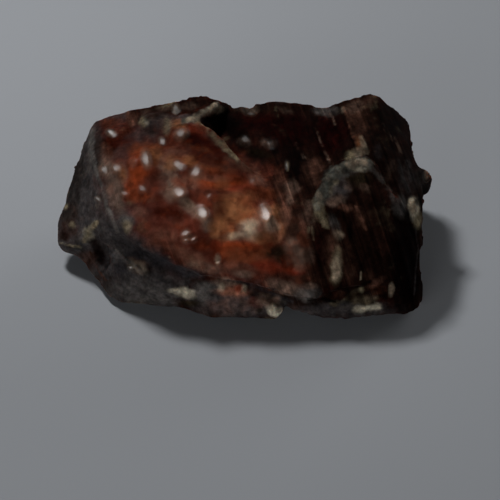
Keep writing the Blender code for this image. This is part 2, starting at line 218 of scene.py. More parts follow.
# The worn red dome and the strip along its top, down to the dome's foot.
DOME_PATCHES = (
    Patch("rust corner", (113, 127), (20, 13), Tint.MAROON, 0.7, 10),
    Patch("rust corner haze", (110, 122), (12, 5), Tint.RUST, 0.25, 10),
    Patch("rust corner shade", (110, 129), (20, 12), Tint.BLOOD, 0.35, 10),
    Patch("blood fold", (115, 142), (20, 6), Tint.BLOOD, 0.9, 8),
    Patch("brown cheek", (105, 152), (10, 9), Tint.CHESTNUT, 0.8),
    Patch("brown cheek haze", (101, 146), (6, 6), Tint.ROSE, 0.4),
    Patch("violet gap", (134, 119), (8, 10), Tint.COCOA, 0.65, 20),
    Patch("violet gap haze", (131, 119), (6, 8), Tint.ROSE, 0.3, 20),
    Patch("umber strip", (151, 126), (14, 16), Tint.COCOA, 0.7),
    Patch("slate strip", (156, 121), (16, 12), Tint.SLATE, 0.4),
    Patch("strip haze", (150, 114), (9, 5), Tint.CLOUD, 0.35),
    Patch("slate strip end", (146, 137), (12, 6), Tint.SLATE, 0.35),
    Patch("tan bead", (143, 122), (5, 6), Tint.TAN, 0.6, 0, Zone.CRUST),
    Patch("tan drip", (167, 127), (5, 10), Tint.TAN, 0.45, 0, Zone.CRUST),
    Patch("back rim", (162, 110), (22, 8), Tint.COCOA, 0.9, 10, Zone.SKIN),
    Patch("back haze", (164, 106), (9, 5), Tint.CLOUD, 0.25),
    Patch("pale bead", (176, 109), (4, 6), Tint.CREAM, 0.2, 10),
    Patch("brown strip", (194, 104), (20, 8), Tint.COCOA, 0.75, 4),
    Patch("brown strip haze", (190, 106), (9, 4), Tint.CLOUD, 0.25),
    Patch("brown peak", (210, 98), (12, 5), Tint.COCOA, 0.9, -15),
    Patch("ember top", (147, 150), (18, 8), Tint.RUST, 0.9),
    Patch("ember core", (139, 168), (12, 20), Tint.EMBER, 1.0, -8),
    Patch("ember low", (129, 185), (10, 14), Tint.EMBER, 0.75, -20),
    Patch("ember right", (156, 156), (8, 11), Tint.AMBER, 0.65, 12),
    Patch("ember left", (120, 174), (9, 13), Tint.ROSE, 0.9),
    Patch("ember left haze", (121, 174), (6, 8), Tint.AMBER, 0.8),
    Patch("ember foot", (137, 196), (15, 6), Tint.EMBER, 0.7, 5),
    # Painted highlight: the warm glint of the ember bead, painted into its colour.
    Patch("ember bead glow", (146, 160), (6, 11), Tint.ROSE, 0.8, 12),
    Patch("pale ember", (133, 163), (4, 7), Tint.ROSE, 0.6),
    Patch("violet pocket", (152, 183), (8, 12), Tint.MAROON, 0.95, -10),
    Patch("cloud high", (169, 166), (11, 15), Tint.CLOUD, 0.9, -10),
    Patch("cloud high warm", (170, 164), (8, 9), Tint.AMBER, 0.7, -10),
    Patch("cloud low", (169, 191), (10, 12), Tint.CLOUD, 0.85),
    Patch("cloud middle", (170, 178), (14, 8), Tint.CLOUD, 0.5),
    Patch("cloud trail", (190, 207), (17, 7), Tint.CLOUD, 0.75, -42),
    Patch("cloud trail crest", (189, 203), (8, 4), Tint.CREAM, 0.25, -40),
    Patch("cloud trail end", (208, 225), (8, 8), Tint.CLOUD, 0.9),
    Patch("cloud trail warm", (211, 226), (5, 6), Tint.AMBER, 0.5),
    Patch("grey margin", (114, 192), (8, 30), Tint.SLATE, 0.95, 12),
    Patch("pale margin", (107, 192), (2, 9), Tint.ASH, 0.5, 8),
    Patch("grey margin top", (104, 166), (9, 14), Tint.CLOUD, 0.6, 10),
    Patch("margin haze", (115, 192), (9, 32), Tint.CLOUD, 0.65, 12),
    Patch("grey margin foot", (124, 225), (10, 14), Tint.SLATE, 0.9, 25),
    Patch("ash margin foot", (128, 222), (6, 9), Tint.ASH, 0.7, 25),
    Patch("tan margin foot", (127, 227), (5, 8), Tint.TAN, 0.5, 15),
    Patch("rose skirt", (139, 213), (8, 8), Tint.ROSE, 0.35),
    Patch("skirt shade", (142, 226), (9, 7), Tint.BLOOD, 0.5),
    Patch("red under vein", (196, 130), (15, 7), Tint.RED, 0.8, -4),
    Patch("red glow under vein", (184, 134), (8, 7), Tint.ROSE, 0.75, -30),
    # Painted highlight: the warm glint of the high bead, painted into its colour.
    Patch("high bead glow", (181, 134), (8, 7), Tint.ROSE, 0.9, 20),
    Patch("ochre under vein", (179, 124), (9, 5), Tint.AMBER, 0.6),
    Patch("blood band", (202, 143), (30, 9), Tint.BLOOD, 1.0, -22),
    Patch("blood band heart", (194, 141), (18, 6), Tint.GARNET, 0.5, -22),
    Patch("blood band foot", (190, 145), (10, 4), Tint.GARNET, 0.6, -10),
    Patch("blood band glow", (202, 149), (12, 4), Tint.RUST, 0.4, -14),
    Patch("orange haze", (184, 158), (18, 8), Tint.RUST, 0.9, -12),
    Patch("orange haze top", (180, 153), (12, 4), Tint.ROSE, 0.5, -12),
    Patch("orange haze core", (191, 161), (9, 6), Tint.AMBER, 0.7, -12),
    Patch("rose haze", (213, 166), (20, 9), Tint.RUST, 0.8, -12),
    Patch("rose haze streak", (210, 163), (12, 3), Tint.ROSE, 0.35, -18),
    Patch("blood band low", (210, 159), (24, 8), Tint.BLOOD, 0.8, -20),
    Patch("brown gap", (230, 167), (9, 8), Tint.CHESTNUT, 0.7, -20),
    Patch("orange bar", (215, 182), (36, 8), Tint.EMBER, 0.9, -4),
    Patch("orange bar haze", (213, 178), (20, 4), Tint.ROSE, 0.6, -4),
    Patch("grey haze", (190, 182), (10, 8), Tint.CLOUD, 0.5),
    Patch("violet pocket right", (161, 184), (7, 9), Tint.MAROON, 0.6),
    Patch("red seam", (240, 189), (24, 4), Tint.RED, 0.85, -5),
    Patch("red seam shade", (230, 196), (9, 5), Tint.MAROON, 0.8, -5),
    Patch("violet shade", (208, 200), (14, 6), Tint.MAROON, 0.9, -25),
    Patch("rust shade", (217, 208), (5, 9), Tint.CHESTNUT, 0.8, -15),
    Patch("red flank", (266, 171), (8, 10), Tint.MAROON, 0.7, 10),
    Patch("rust flank", (264, 193), (18, 6), Tint.RUST, 0.85, -5),
    Patch("rose bead", (257, 180), (10, 6), Tint.ROSE, 0.7, -25),
    Patch("seam shade", (257, 193), (18, 6), Tint.BLOOD, 0.75, -5),
    Patch("orange bar end", (222, 184), (9, 7), Tint.AMBER, 0.4),
    Patch("amber heart", (238, 212), (24, 20), Tint.AMBER, 1.0),
    Patch("heart brow", (254, 205), (17, 7), Tint.RUST, 0.75),
    Patch("heart brow shade", (263, 204), (13, 6), Tint.MAROON, 0.9),
    Patch("heart dim", (251, 216), (8, 6), Tint.RUST, 0.75),
    Patch("heart shade", (219, 213), (5, 7), Tint.BLOOD, 0.8),
    Patch("amber left", (222, 228), (12, 14), Tint.AMBER, 0.95, 10),
    Patch("amber right", (262, 226), (13, 16), Tint.ROSE, 0.85, 10),
    # The cream heart is the heart's pale colour, and partly a painted highlight where the heart bead
    # has no shine.
    Patch("cream heart", (247, 228), (12, 9), Tint.CREAM, 0.8, 25),
    Patch("cream heart foot", (254, 237), (7, 6), Tint.CREAM, 0.5),
    Patch("cream heart left", (232, 236), (9, 5), Tint.TAN, 0.45),
    # Painted light: the dome's right flank beside the main glass bead, which turns from the key light,
    # is painted paler, and the glint's tail is a painted highlight.
    Patch("heart right", (274, 222), (11, 18), Tint.AMBER, 0.9),
    Patch("heart right haze", (271, 229), (10, 14), Tint.ROSE, 0.9),
    Patch("heart right warm", (272, 231), (8, 11), Tint.AMBER, 0.6),
    Patch("glint tail", (272, 226), (7, 8), Tint.CREAM, 0.9, -30),
    Patch("glint tail warm", (272, 227), (7, 8), Tint.BRICK, 0.5, -30),
    Patch("heart right foot", (271, 237), (9, 5), Tint.BRICK, 0.8),
    Patch("heart left foot", (220, 236), (8, 5), Tint.AMBER, 0.6),
    Patch("heart foot", (241, 237), (22, 5), Tint.CREAM, 0.25),
    Patch("rust low", (264, 239), (14, 7), Tint.AMBER, 0.75),
    Patch("ember low right", (238, 250), (28, 10), Tint.EMBER, 0.9, -4),
    Patch("red low right", (243, 256), (26, 9), Tint.RUST, 0.85, -4),
    Patch("red stain", (216, 246), (6, 8), Tint.RED, 0.7, -20),
    Patch("olive pit", (270, 251), (15, 8), Tint.OLIVE, 1.0, 5),
    Patch("olive pit end", (281, 258), (6, 9), Tint.OLIVE, 0.85, 20),
    Patch("olive pit core", (275, 252), (9, 5), Tint.UMBER, 0.7, 5),
    Patch("red tongue", (266, 267), (18, 7), Tint.RED, 1.0, -8),
    Patch("rust fringe", (238, 268), (20, 6), Tint.ROSE, 0.6, -6),
    Patch("tan fringe", (243, 274), (12, 4), Tint.CLOUD, 0.7, -8),
    Patch("grey bubbles", (292, 246), (7, 10), Tint.CLOUD, 0.4, 20),
    Patch("grey bubbles low", (299, 258), (7, 10), Tint.CLOUD, 0.55, 10),
    Patch("grey waist", (311, 256), (6, 9), Tint.CLOUD, 0.2),
    Patch("red drop", (294, 271), (12, 5), Tint.RED, 0.95, -5),
    Patch("rose drop", (300, 268), (7, 5), Tint.ROSE, 0.7),
    Patch("bubble gap", (284, 264), (3, 8), Tint.BLOOD, 0.8, 15),
    Patch("wine skirt", (158, 232), (28, 15), Tint.MAROON, 0.8, -12),
    Patch("wine skirt rose", (165, 240), (20, 12), Tint.ROSE, 0.35, -15),
    Patch("wine band", (168, 213), (20, 7), Tint.BLOOD, 0.8, -8),
    Patch("wine pit", (200, 246), (12, 8), Tint.BLOOD, 0.6, -20),
    Patch("rose foot", (190, 256), (22, 8), Tint.ROSE, 0.5, -22),
    Patch("grey foot", (205, 268), (22, 6), Tint.CLOUD, 0.5, -14),
    Patch("pearl", (218, 259), (3, 6), Tint.CREAM, 0.55),
    Patch("grey lip", (288, 288), (22, 7), Tint.CLOUD, 0.7, -16),
    Patch("grey lip end", (307, 294), (15, 8), Tint.ASH, 0.7, 0, Zone.SKIN),
    Patch("grey lip shade", (298, 284), (7, 3), Tint.CHESTNUT, 0.4),
    Patch("grey lip top", (311, 286), (8, 4), Tint.CLOUD, 0.6),
)

# The grey left end with its nub, the toe, and the ledge under the dome.
LEFT_PATCHES = (
    Patch("brown facet", (74, 184), (13, 36), Tint.SOOT, 0.9, -14, Zone.SKIN),
    Patch("dark margin top", (98, 150), (5, 24), Tint.SOOT, 0.8, -4),
    Patch("pale facet edge", (91, 146), (4, 26), Tint.ASH, 1.0, -2, Zone.SKIN),
    Patch("grey facet heart", (90, 200), (12, 16), Tint.SLATE, 0.8, 0, Zone.SKIN),
    Patch("nub", (68, 224), (13, 20), Tint.CHESTNUT, 0.5, 0, Zone.CRUST),
    Patch("nub top", (65, 214), (9, 8), Tint.SOOT, 0.9),
    Patch("nub shade", (64, 236), (6, 6), Tint.COCOA, 0.8),
    Patch("nub foot shade", (69, 246), (6, 4), Tint.SOOT, 0.7),
    Patch("nub bead", (72, 225), (4, 3), Tint.TAN, 0.6, 0, Zone.CRUST),
    Patch("nub crown", (65, 206), (3, 3), Tint.TAN, 0.8, 0, Zone.CRUST),
    Patch("nub ridge foot", (89, 234), (5, 7), Tint.IVORY, 0.6, 25, Zone.CRUST),
    Patch("scoop", (107, 238), (8, 24), Tint.SLATE, 0.95, 10, Zone.SKIN),
    Patch("hollow", (98, 252), (7, 22), Tint.UMBER, 0.85, 16),
    Patch("brown rim", (88, 260), (9, 12), Tint.CHESTNUT, 0.7, 35, Zone.CRUST),
    Patch("brown rim foot", (103, 284), (9, 12), Tint.COCOA, 0.7, 35, Zone.CRUST),
    Patch("ink band", (152, 259), (32, 10), Tint.INK, 0.95, -24, Zone.SKIN),
    Patch("ink band end", (185, 272), (20, 6), Tint.INK, 0.9, -12, Zone.SKIN),
    Patch("ink facet", (122, 268), (9, 8), Tint.INK, 0.8, 0, Zone.SKIN),
    Patch("toe haze", (142, 291), (44, 13), Tint.ASH, 0.5, 0, Zone.SKIN),
    Patch("toe rim haze", (149, 299), (26, 5), Tint.ASH, 0.6, 4, Zone.SKIN),
    Patch("toe bead haze", (138, 267), (12, 7), Tint.CLOUD, 0.9, -35, Zone.SKIN),
    Patch("toe bead light", (139, 268), (11, 5), Tint.IVORY, 0.3, -35),
    Patch("tan patch", (186, 293), (11, 5), Tint.IVORY, 0.8, -4, Zone.CRUST),
    Patch("tan patch tail", (175, 291), (8, 3), Tint.IVORY, 0.7, -8, Zone.CRUST),
    Patch("olive foot", (188, 303), (14, 4), Tint.OLIVE, 0.8),
    Patch("ledge ash", (213, 286), (16, 8), Tint.ASH, 1.0, 0, Zone.SKIN),
    Patch("ledge ash left", (202, 295), (8, 10), Tint.ASH, 0.75, 0, Zone.SKIN),
    Patch("ledge haze", (226, 282), (14, 5), Tint.CLOUD, 0.8, -8, Zone.SKIN),
    Patch("ledge end haze", (276, 303), (9, 8), Tint.CLOUD, 0.9, 0, Zone.SKIN),
    Patch("ledge end ash", (283, 305), (5, 6), Tint.ASH, 0.8, 0, Zone.SKIN),
    Patch("ledge red", (233, 292), (18, 6), Tint.BRICK, 0.9, -4),
    Patch("ledge red bead", (238, 289), (5, 4), Tint.RED, 0.7),
    Patch("ledge pale", (222, 287), (4, 5), Tint.CREAM, 0.6, 0, Zone.CRUST),
    Patch("ledge pale right", (244, 289), (3, 5), Tint.CREAM, 0.55, 0, Zone.CRUST),
    Patch("ledge wine", (256, 301), (9, 6), Tint.MAROON, 0.7, -20),
    Patch("ledge rose", (235, 305), (32, 9), Tint.ROSE, 0.2, 0, Zone.SKIN),
    Patch("ledge tan", (263, 298), (7, 7), Tint.CLOUD, 0.7),
    Patch("ledge pit", (260, 310), (4, 3), Tint.OLIVE, 0.8),
    Patch("ledge nodule", (275, 311), (7, 7), Tint.IVORY, 1.0, 20, Zone.CRUST),
)

# The dark half, from its brow to the blunt end and the ledge under it.
RIGHT_PATCHES = (
    Patch("brown brow", (248, 108), (12, 6), Tint.CLOUD, 0.3),
    Patch("brow", (287, 108), (16, 6), Tint.COCOA, 0.9, -8, Zone.STRIAE),
    Patch("tan brow", (286, 111), (9, 4), Tint.CLOUD, 0.3, -20),
    Patch("garnet field", (262, 123), (36, 12), Tint.GARNET, 1.0, 0, Zone.SKIN),
    Patch("blood field", (255, 118), (22, 5), Tint.BLOOD, 0.2),
    Patch("garnet field right", (292, 132), (22, 22), Tint.GARNET, 0.9),
    # The black wedge and its tail: dark stone, with painted shade in the hollow.
    Patch("black wedge", (224, 122), (22, 14), Tint.PITCH, 1.0, -35, Zone.SKIN),
    Patch("cave crust", (208, 112), (8, 5), Tint.CLOUD, 0.8, 25, Zone.SKIN),
    Patch("wedge tip", (209, 121), (6, 3), Tint.PITCH, 0.7, -35),
    # Painted light: the cave's shade is painted paler.
    Patch("cave haze", (219, 110), (6, 4), Tint.CREAM, 0.35, 20),
    Patch("black wedge end", (239, 138), (18, 11), Tint.PITCH, 0.9, -38, Zone.SKIN),
    Patch("black wedge tail", (257, 153), (16, 9), Tint.UMBER, 0.95, -25, Zone.SKIN),
    Patch("wedge low", (234, 146), (12, 6), Tint.UMBER, 0.75, -42),
    Patch("wedge right", (246, 152), (9, 5), Tint.UMBER, 0.5, -30),
    Patch("grey smear", (244, 142), (8, 5), Tint.CLOUD, 0.35, -10),
    Patch("grey smear right", (269, 143), (8, 5), Tint.CLOUD, 0.25, -10),
    Patch("ink smear", (258, 153), (18, 5), Tint.OLIVE, 0.5, -10),
    Patch("black fold", (297, 164), (11, 24), Tint.PITCH, 0.95, 20),
    Patch("fold dark", (280, 150), (11, 7), Tint.PITCH, 0.7, 10),
    Patch("brown flank", (282, 192), (8, 22), Tint.CHESTNUT, 0.8, 12),
    Patch("rose flank", (290, 192), (5, 14), Tint.ROSE, 0.1, 15),
    Patch("brown flank low", (302, 226), (16, 18), Tint.COCOA, 0.4),
    Patch("brown flank top", (301, 205), (11, 9), Tint.COCOA, 0.6),
    Patch("flank rose", (284, 216), (7, 12), Tint.ROSE, 0.6),
    Patch("grey flank low", (307, 222), (10, 14), Tint.CLOUD, 0.15),
    Patch("grey flank high", (309, 206), (5, 6), Tint.CLOUD, 0.35),
    Patch("brown waist", (312, 172), (12, 14), Tint.CHESTNUT, 0.8),
    Patch("rose waist", (318, 166), (8, 8), Tint.ROSE, 0.25, -30),
    Patch("blood waist", (320, 250), (7, 20), Tint.GARNET, 0.6),
    Patch("garnet slab", (329, 134), (20, 25), Tint.GARNET, 0.97, -12),
    Patch("blood slab right", (338, 140), (6, 16), Tint.BLOOD, 0.1, -12),
    Patch("slab grey top", (326, 111), (14, 5), Tint.ASH, 0.55),
    Patch("fan", (357, 120), (9, 30), Tint.CHESTNUT, 0.85, 12),
    Patch("fan haze", (355, 106), (10, 7), Tint.CLOUD, 0.3, 12),
    Patch("fan head", (343, 110), (3, 4), Tint.CREAM, 0.2),
    Patch("fan glow", (360, 143), (5, 8), Tint.AMBER, 0.4, 8),
    Patch("fan shade", (357, 126), (6, 7), Tint.UMBER, 0.5, 12),
    Patch("fan foot", (360, 151), (9, 6), Tint.CREAM, 0.5, 25, Zone.CRUST),
    Patch("fan foot left", (350, 156), (6, 5), Tint.TAN, 0.5, 30),
    Patch("arc node", (358, 166), (13, 7), Tint.IVORY, 0.95, 0, Zone.CRUST),
    Patch("peak crust", (369, 101), (7, 8), Tint.CHESTNUT, 0.85, 0, Zone.STRIAE),
    Patch("umber peak", (387, 113), (16, 16), Tint.UMBER, 0.95),
    Patch("umber field peak", (385, 140), (14, 24), Tint.UMBER, 0.9),
    Patch("peak dark", (395, 127), (9, 15), Tint.PITCH, 0.6),
    Patch("ink eye", (377, 152), (5, 8), Tint.INK, 0.3),
    Patch("lilac facet", (391, 171), (6, 12), Tint.CLOUD, 0.15, -14),
    Patch("green facet", (407, 176), (10, 24), Tint.SLATE, 0.25),
    Patch("right margin", (407, 155), (10, 15), Tint.UMBER, 0.95, 0, Zone.STRIAE),
    Patch("nub right", (424, 180), (12, 14), Tint.SOOT, 0.95, 0, Zone.SKIN),
    Patch("nub right glint", (426, 175), (2, 5), Tint.CREAM, 0.8, 0, Zone.CRUST),
    Patch("arc lump", (353, 164), (7, 5), Tint.CREAM, 0.8, 10, Zone.CRUST),
    Patch("arc lump left", (338, 171), (5, 5), Tint.TAN, 0.7, 40, Zone.CRUST),
    Patch("arc pale lump", (331, 178), (4, 6), Tint.TAN, 0.6, 60, Zone.CRUST),
    Patch("arc foot lump", (321, 196), (4, 6), Tint.CREAM, 0.6, 70, Zone.CRUST),
    Patch("arc foot", (319, 209), (5, 9), Tint.TAN, 0.6, -20, Zone.CRUST),
    Patch("waist cloud", (292, 188), (8, 8), Tint.CLOUD, 0.5),
    Patch("waist cloud low", (290, 200), (4, 6), Tint.CLOUD, 0.5),
    Patch("tan eye haze", (401, 207), (6, 12), Tint.ASH, 0.6),
    Patch("tan eye", (414, 209), (6, 12), Tint.IVORY, 0.7, 0, Zone.CRUST),
    Patch("tan eye warm", (414, 207), (5, 9), Tint.CREAM, 0.8, 0, Zone.CRUST),
    Patch("tan eye tail", (418, 220), (4, 9), Tint.TAN, 0.8, -15, Zone.CRUST),
    Patch("tan eye notch", (409, 217), (3, 5), Tint.SOOT, 0.6, 30),
    Patch("tan eye notch high", (418, 201), (3, 5), Tint.SOOT, 0.9, 20),
    Patch("grey inlay", (338, 186), (14, 17), Tint.SLATE, 0.9, 0, Zone.CRUST),
    Patch("grey inlay left", (331, 188), (6, 14), Tint.ASH, 0.9, -10, Zone.CRUST),
    Patch("tan inlay left", (330, 186), (5, 9), Tint.TAN, 0.35, -10, Zone.CRUST),
    Patch("grey inlay crown", (345, 174), (12, 5), Tint.ASH, 0.7, 0, Zone.CRUST),
    Patch("tan inlay", (336, 181), (4, 4), Tint.TAN, 0.5, 0, Zone.CRUST),
    Patch("lilac inlay", (349, 186), (7, 5), Tint.CLOUD, 0.2),
    Patch("grey inlay low", (335, 200), (11, 6), Tint.CLOUD, 0.8, 0, Zone.CRUST),
    Patch("green inlay", (358, 179), (14, 7), Tint.OLIVE, 0.85),
    Patch("rose inlay", (365, 188), (8, 5), Tint.CLOUD, 0.15, -20),
    Patch("rose brow", (346, 208), (8, 4), Tint.ROSE, 0.4, -10),
    Patch("rose streak haze", (361, 217), (5, 12), Tint.CHESTNUT, 0.9, 15),
    Patch("hollow brow", (336, 217), (9, 7), Tint.UMBER, 0.85, -20),
    Patch("black slot", (350, 230), (4, 14), Tint.PITCH, 0.9),
    Patch("pale streak right", (334, 224), (5, 12), Tint.ASH, 0.5, 18),
    Patch("pale bead right", (338, 236), (5, 6), Tint.CREAM, 0.7, 8, Zone.CRUST),
    Patch("tan drop haze", (334, 256), (11, 26), Tint.CHESTNUT, 1.0),
    Patch("tan drop left", (331, 256), (4, 10), Tint.ROSE, 0.4),
    Patch("tan drop", (337, 266), (6, 18), Tint.TAN, 0.9, -3, Zone.CRUST),
    Patch("tan drop heart", (337, 268), (5, 12), Tint.CREAM, 0.9, -3, Zone.CRUST),
    Patch("ledge umber", (364, 298), (20, 8), Tint.COCOA, 0.9, 4),
    Patch("ledge olive", (366, 300), (14, 5), Tint.TAN, 0.25, 6),
    Patch("ledge olive haze", (371, 295), (8, 5), Tint.CLOUD, 0.2),
    Patch("ledge right haze", (350, 272), (7, 10), Tint.CHESTNUT, 0.6),
    Patch("tongue haze", (370, 275), (7, 6), Tint.CHESTNUT, 0.5),
    Patch("tongue left haze", (346, 260), (6, 22), Tint.CHESTNUT, 0.45),
    Patch("ledge haze left", (340, 295), (7, 5), Tint.CHESTNUT, 0.6),
    Patch("ledge tan right", (372, 307), (9, 4), Tint.IVORY, 1.0, 8, Zone.CRUST),
    Patch("ledge tan left", (361, 309), (8, 4), Tint.IVORY, 1.0, 4, Zone.CRUST),
    Patch("ledge violet", (344, 303), (8, 4), Tint.INK, 0.8),
    Patch("ledge bead right", (361, 290), (3, 4), Tint.TAN, 0.7, 0, Zone.CRUST),
    Patch("ledge rust", (377, 290), (11, 5), Tint.RUST, 0.15),
    Patch("ledge rose right", (375, 283), (12, 4), Tint.ROSE, 0.45, 30),
    Patch("ledge pale right end", (391, 290), (3, 7), Tint.CREAM, 0.75, -8, Zone.CRUST),
)

# Veins, streaks, ridges, cracks and seams.
TRACES = (
    Trace("arc vein foot", ((316, 203), (319, 209), (323, 216), (325, 226)), 4.5, Tint.TAN, 0.5,
          0.04, Zone.CRUST),
    Trace("arc vein left", ((318, 206), (321, 197), (325, 186), (330, 177), (336, 170)), 6.5,
          Tint.LICHEN, 0.7, 0.05, Zone.CRUST),
    Trace("arc vein crown", ((336, 174), (344, 169), (352, 165), (360, 163), (367, 165)), 7.0,
          Tint.LICHEN, 0.7, 0.05, Zone.CRUST),
    Trace("arc vein core", ((349, 166), (356, 163), (364, 163)), 4.5, Tint.CREAM, 0.55, 0.0,
          Zone.CRUST),
    Trace("arc vein right", ((369, 165), (376, 173), (384, 182), (389, 190), (394, 203), (399, 214)),
          3.2, Tint.ASH, 0.3, 0.03, Zone.CRUST),
    Trace("fan edge left", ((344, 108), (347, 118), (351, 130), (355, 142)), 1.8,
          Tint.ROSE, 0.15, 0.03),
    Trace("fan edge right", ((361, 138), (364, 145), (366, 152)), 2.8,
          Tint.CREAM, 0.5, 0.03, Zone.CRUST),
    Trace("slab crack", ((318, 132), (320, 140), (323, 148), (327, 155), (330, 162)), 1.7,
          Tint.CLOUD, 0.22, -0.04),
    Trace("lilac streak", ((383, 124), (387, 132), (392, 141)), 1.8, Tint.CLOUD, 0.08, 0.03),
    Trace("lilac streak right", ((395, 138), (398, 145), (401, 153)), 1.8, Tint.CLOUD, 0.15, 0.03),
    Trace("green streak", ((408, 162), (410, 170), (412, 180)), 3.0, Tint.SLATE, 0.4, 0.03),
    Trace("green streak left", ((398, 160), (402, 176), (408, 192)), 2.4, Tint.SLATE, 0.5, 0.03),
    Trace("short crack", ((330, 113), (333, 119), (335, 124)), 1.4, Tint.CLOUD, 0.35, -0.04),
    Trace("strip vein", ((184, 121), (194, 118), (205, 112), (216, 105)), 3.6,
          Tint.LICHEN, 1.0, 0.0, Zone.CRUST),
    Trace("strip vein crest", ((188, 120), (200, 115), (208, 111), (215, 106)), 3.6,
          Tint.CREAM, 0.45, 0.0, Zone.CRUST),
    Trace("diagonal vein", ((207, 127), (211, 134), (217, 141), (225, 148), (232, 154), (240, 160)),
          5.2, Tint.CHESTNUT, 0.7),
    Trace("diagonal vein core", ((208, 129), (217, 140), (227, 149), (238, 158)), 3.8, Tint.TAN, 0.4,
          0.0, Zone.CRUST),
    Trace("diagonal vein end", ((241, 159), (250, 165), (258, 172)), 3.0, Tint.ROSE, 0.3),
    Trace("nub ridge", ((96, 223), (92, 228), (88, 234), (85, 240)), 3.6, Tint.TAN, 0.6, 0.12,
          Zone.CRUST),
    Trace("nub rim", ((60, 243), (70, 246), (81, 247)), 1.5, Tint.TAN, 0.3, 0.1, Zone.CRUST),
    Trace("margin ridge", ((93, 124), (92, 150), (96, 171), (103, 190), (106, 206), (112, 219),
                           (117, 232)), 2.4, Tint.ASH, 0.95, 0.1),
    Trace("toe ridge", ((117, 250), (122, 257), (131, 264), (139, 269), (145, 278)), 2.6, Tint.ASH,
          0.6, 0.16, Zone.SKIN),
    Trace("dome foot seam", ((228, 280), (240, 282), (252, 285), (265, 290), (280, 297), (292, 302)),
          2.2, Tint.INK, 0.5, -0.05),
    Trace("ledge seam", ((309, 300), (322, 299), (335, 301)), 2.0, Tint.PITCH, 0.8, -0.12),
    Trace("tongue seam", ((338, 289), (349, 289), (361, 286), (371, 281)), 1.6, Tint.UMBER, 0.6,
          -0.08),
    Trace("rose streak", ((356, 207), (361, 217), (366, 229)), 2.0, Tint.ROSE, 0.25, 0.03),
    Trace("thin glint", ((361, 272), (361, 279)), 1.1, Tint.CREAM, 0.5, 0.04),
    Trace("end line", ((415, 226), (418, 248), (416, 268), (414, 296)), 0.9, Tint.SLATE, 0.4, 0.04),
    Trace("twin streak", ((308, 227), (308, 237)), 1.4, Tint.TAN, 0.3, 0.05),
    Trace("twin streak right", ((312, 227), (313, 240)), 1.4, Tint.TAN, 0.3, 0.05),
    Trace("brow streak", ((275, 106), (278, 116)), 1.4, Tint.TAN, 0.2, 0.05),
    Trace("fold streak", ((296, 144), (300, 151), (304, 158)), 2.0, Tint.CLOUD, 0.15, 0.04),
    Trace("fold streak low", ((287, 162), (288, 170)), 1.2, Tint.TAN, 0.6, 0.04),
    Trace("hollow edge", ((90, 252), (95, 262), (99, 272), (106, 280)), 1.6, Tint.CHESTNUT, 0.6, 0.08),
)

# The small worn lumps, most of them glassy.
BEADS = (
    Bead("main glass bead", (267, 216), (7, 15), 0.2, 0.86, 20),
    Bead("cloud bead", (203, 214), (7, 11), 0.25, 0.8, 30),
    Bead("wine bead", (186, 235), (6, 7), 0.2, 0.46),
    Bead("wine bead right", (193, 239), (5, 5), 0.12, 0.4),
    Bead("wine bead low", (186, 241), (4, 4), 0.1, 0.34),
    Bead("high bead", (181, 134), (8, 7), 0.25, 0.3, 20),
    Bead("brow bead", (162, 141), (4, 5), 0.1, 0.4, 30),
    Bead("ember bead", (146, 159), (6, 11), 0.3, 0.42, 12),
    Bead("grey bead", (178, 165), (8, 6), 0.15, 0.4, -15),
    Bead("amber bead", (196, 173), (7, 8), 0.2, 0.46),
    Bead("round bead", (180, 194), (8, 8), 0.3, 0.69),
    Bead("small bead", (142, 189), (5, 6), 0.15, 0.23),
    Bead("shade bead", (209, 196), (4, 4), 0.1, 0.17),
    Bead("margin bead", (104, 170), (5, 6), 0.15, 0.34, -20),
    Bead("margin bead right", (116, 169), (5, 6), 0.15, 0.4, 25),
    Bead("ember side bead", (125, 194), (5, 5), 0.1, 0.23),
    Bead("pale ember bead", (133, 163), (6, 7), 0.15),
    Bead("corner bead", (111, 133), (6, 4), 0.2, 0.69, -20),
    Bead("heart bead", (250, 229), (7, 9), 0.1),
    Bead("flank bead", (257, 181), (9, 7), 0.2),
    Bead("bubble", (295, 245), (8, 8), 0.25),
    Bead("bubble right", (300, 258), (7, 7), 0.2),
    Bead("bubble left", (288, 262), (6, 6), 0.2),
    Bead("red drop bead", (299, 271), (8, 5), 0.22),
    Bead("pearl bead", (218, 262), (4, 6), 0.2, 0.23),
    Bead("toe bead", (131, 267), (4, 5), 0.2, 0.57),
    Bead("toe bead right", (139, 269), (5, 5), 0.2),
    Bead("back bead", (176, 109), (5, 6), 0.25, 0.2),
    Bead("back bead left", (131, 110), (6, 4), 0.2, 0.23),
    Bead("tan bead", (143, 122), (6, 7), 0.25),
    Bead("brow lump", (250, 110), (8, 6), 0.3, 0.17),
    Bead("smear lump", (271, 143), (8, 6), 0.25),
    Bead("smear lump left", (245, 140), (6, 6), 0.2, 0.07),
    Bead("fold bead", (287, 165), (3, 5), 0.1, 0.2),
    Bead("nub crown bead", (98, 199), (4, 4), 0.12, 0.34),
    Bead("ledge nodule", (274, 312), (7, 7), 0.25),
    Bead("right nub bead", (426, 176), (4, 5), 0.1, 0.34),
)


@dataclass(frozen=True)
class KeyLight:
    """The one strong light, high behind the stone's left shoulder. Its place is in metres."""

    place: Place = (-0.065, 0.080, 0.180)
    size: float = 0.03
    power: float = 0.21


KEY = KeyLight()


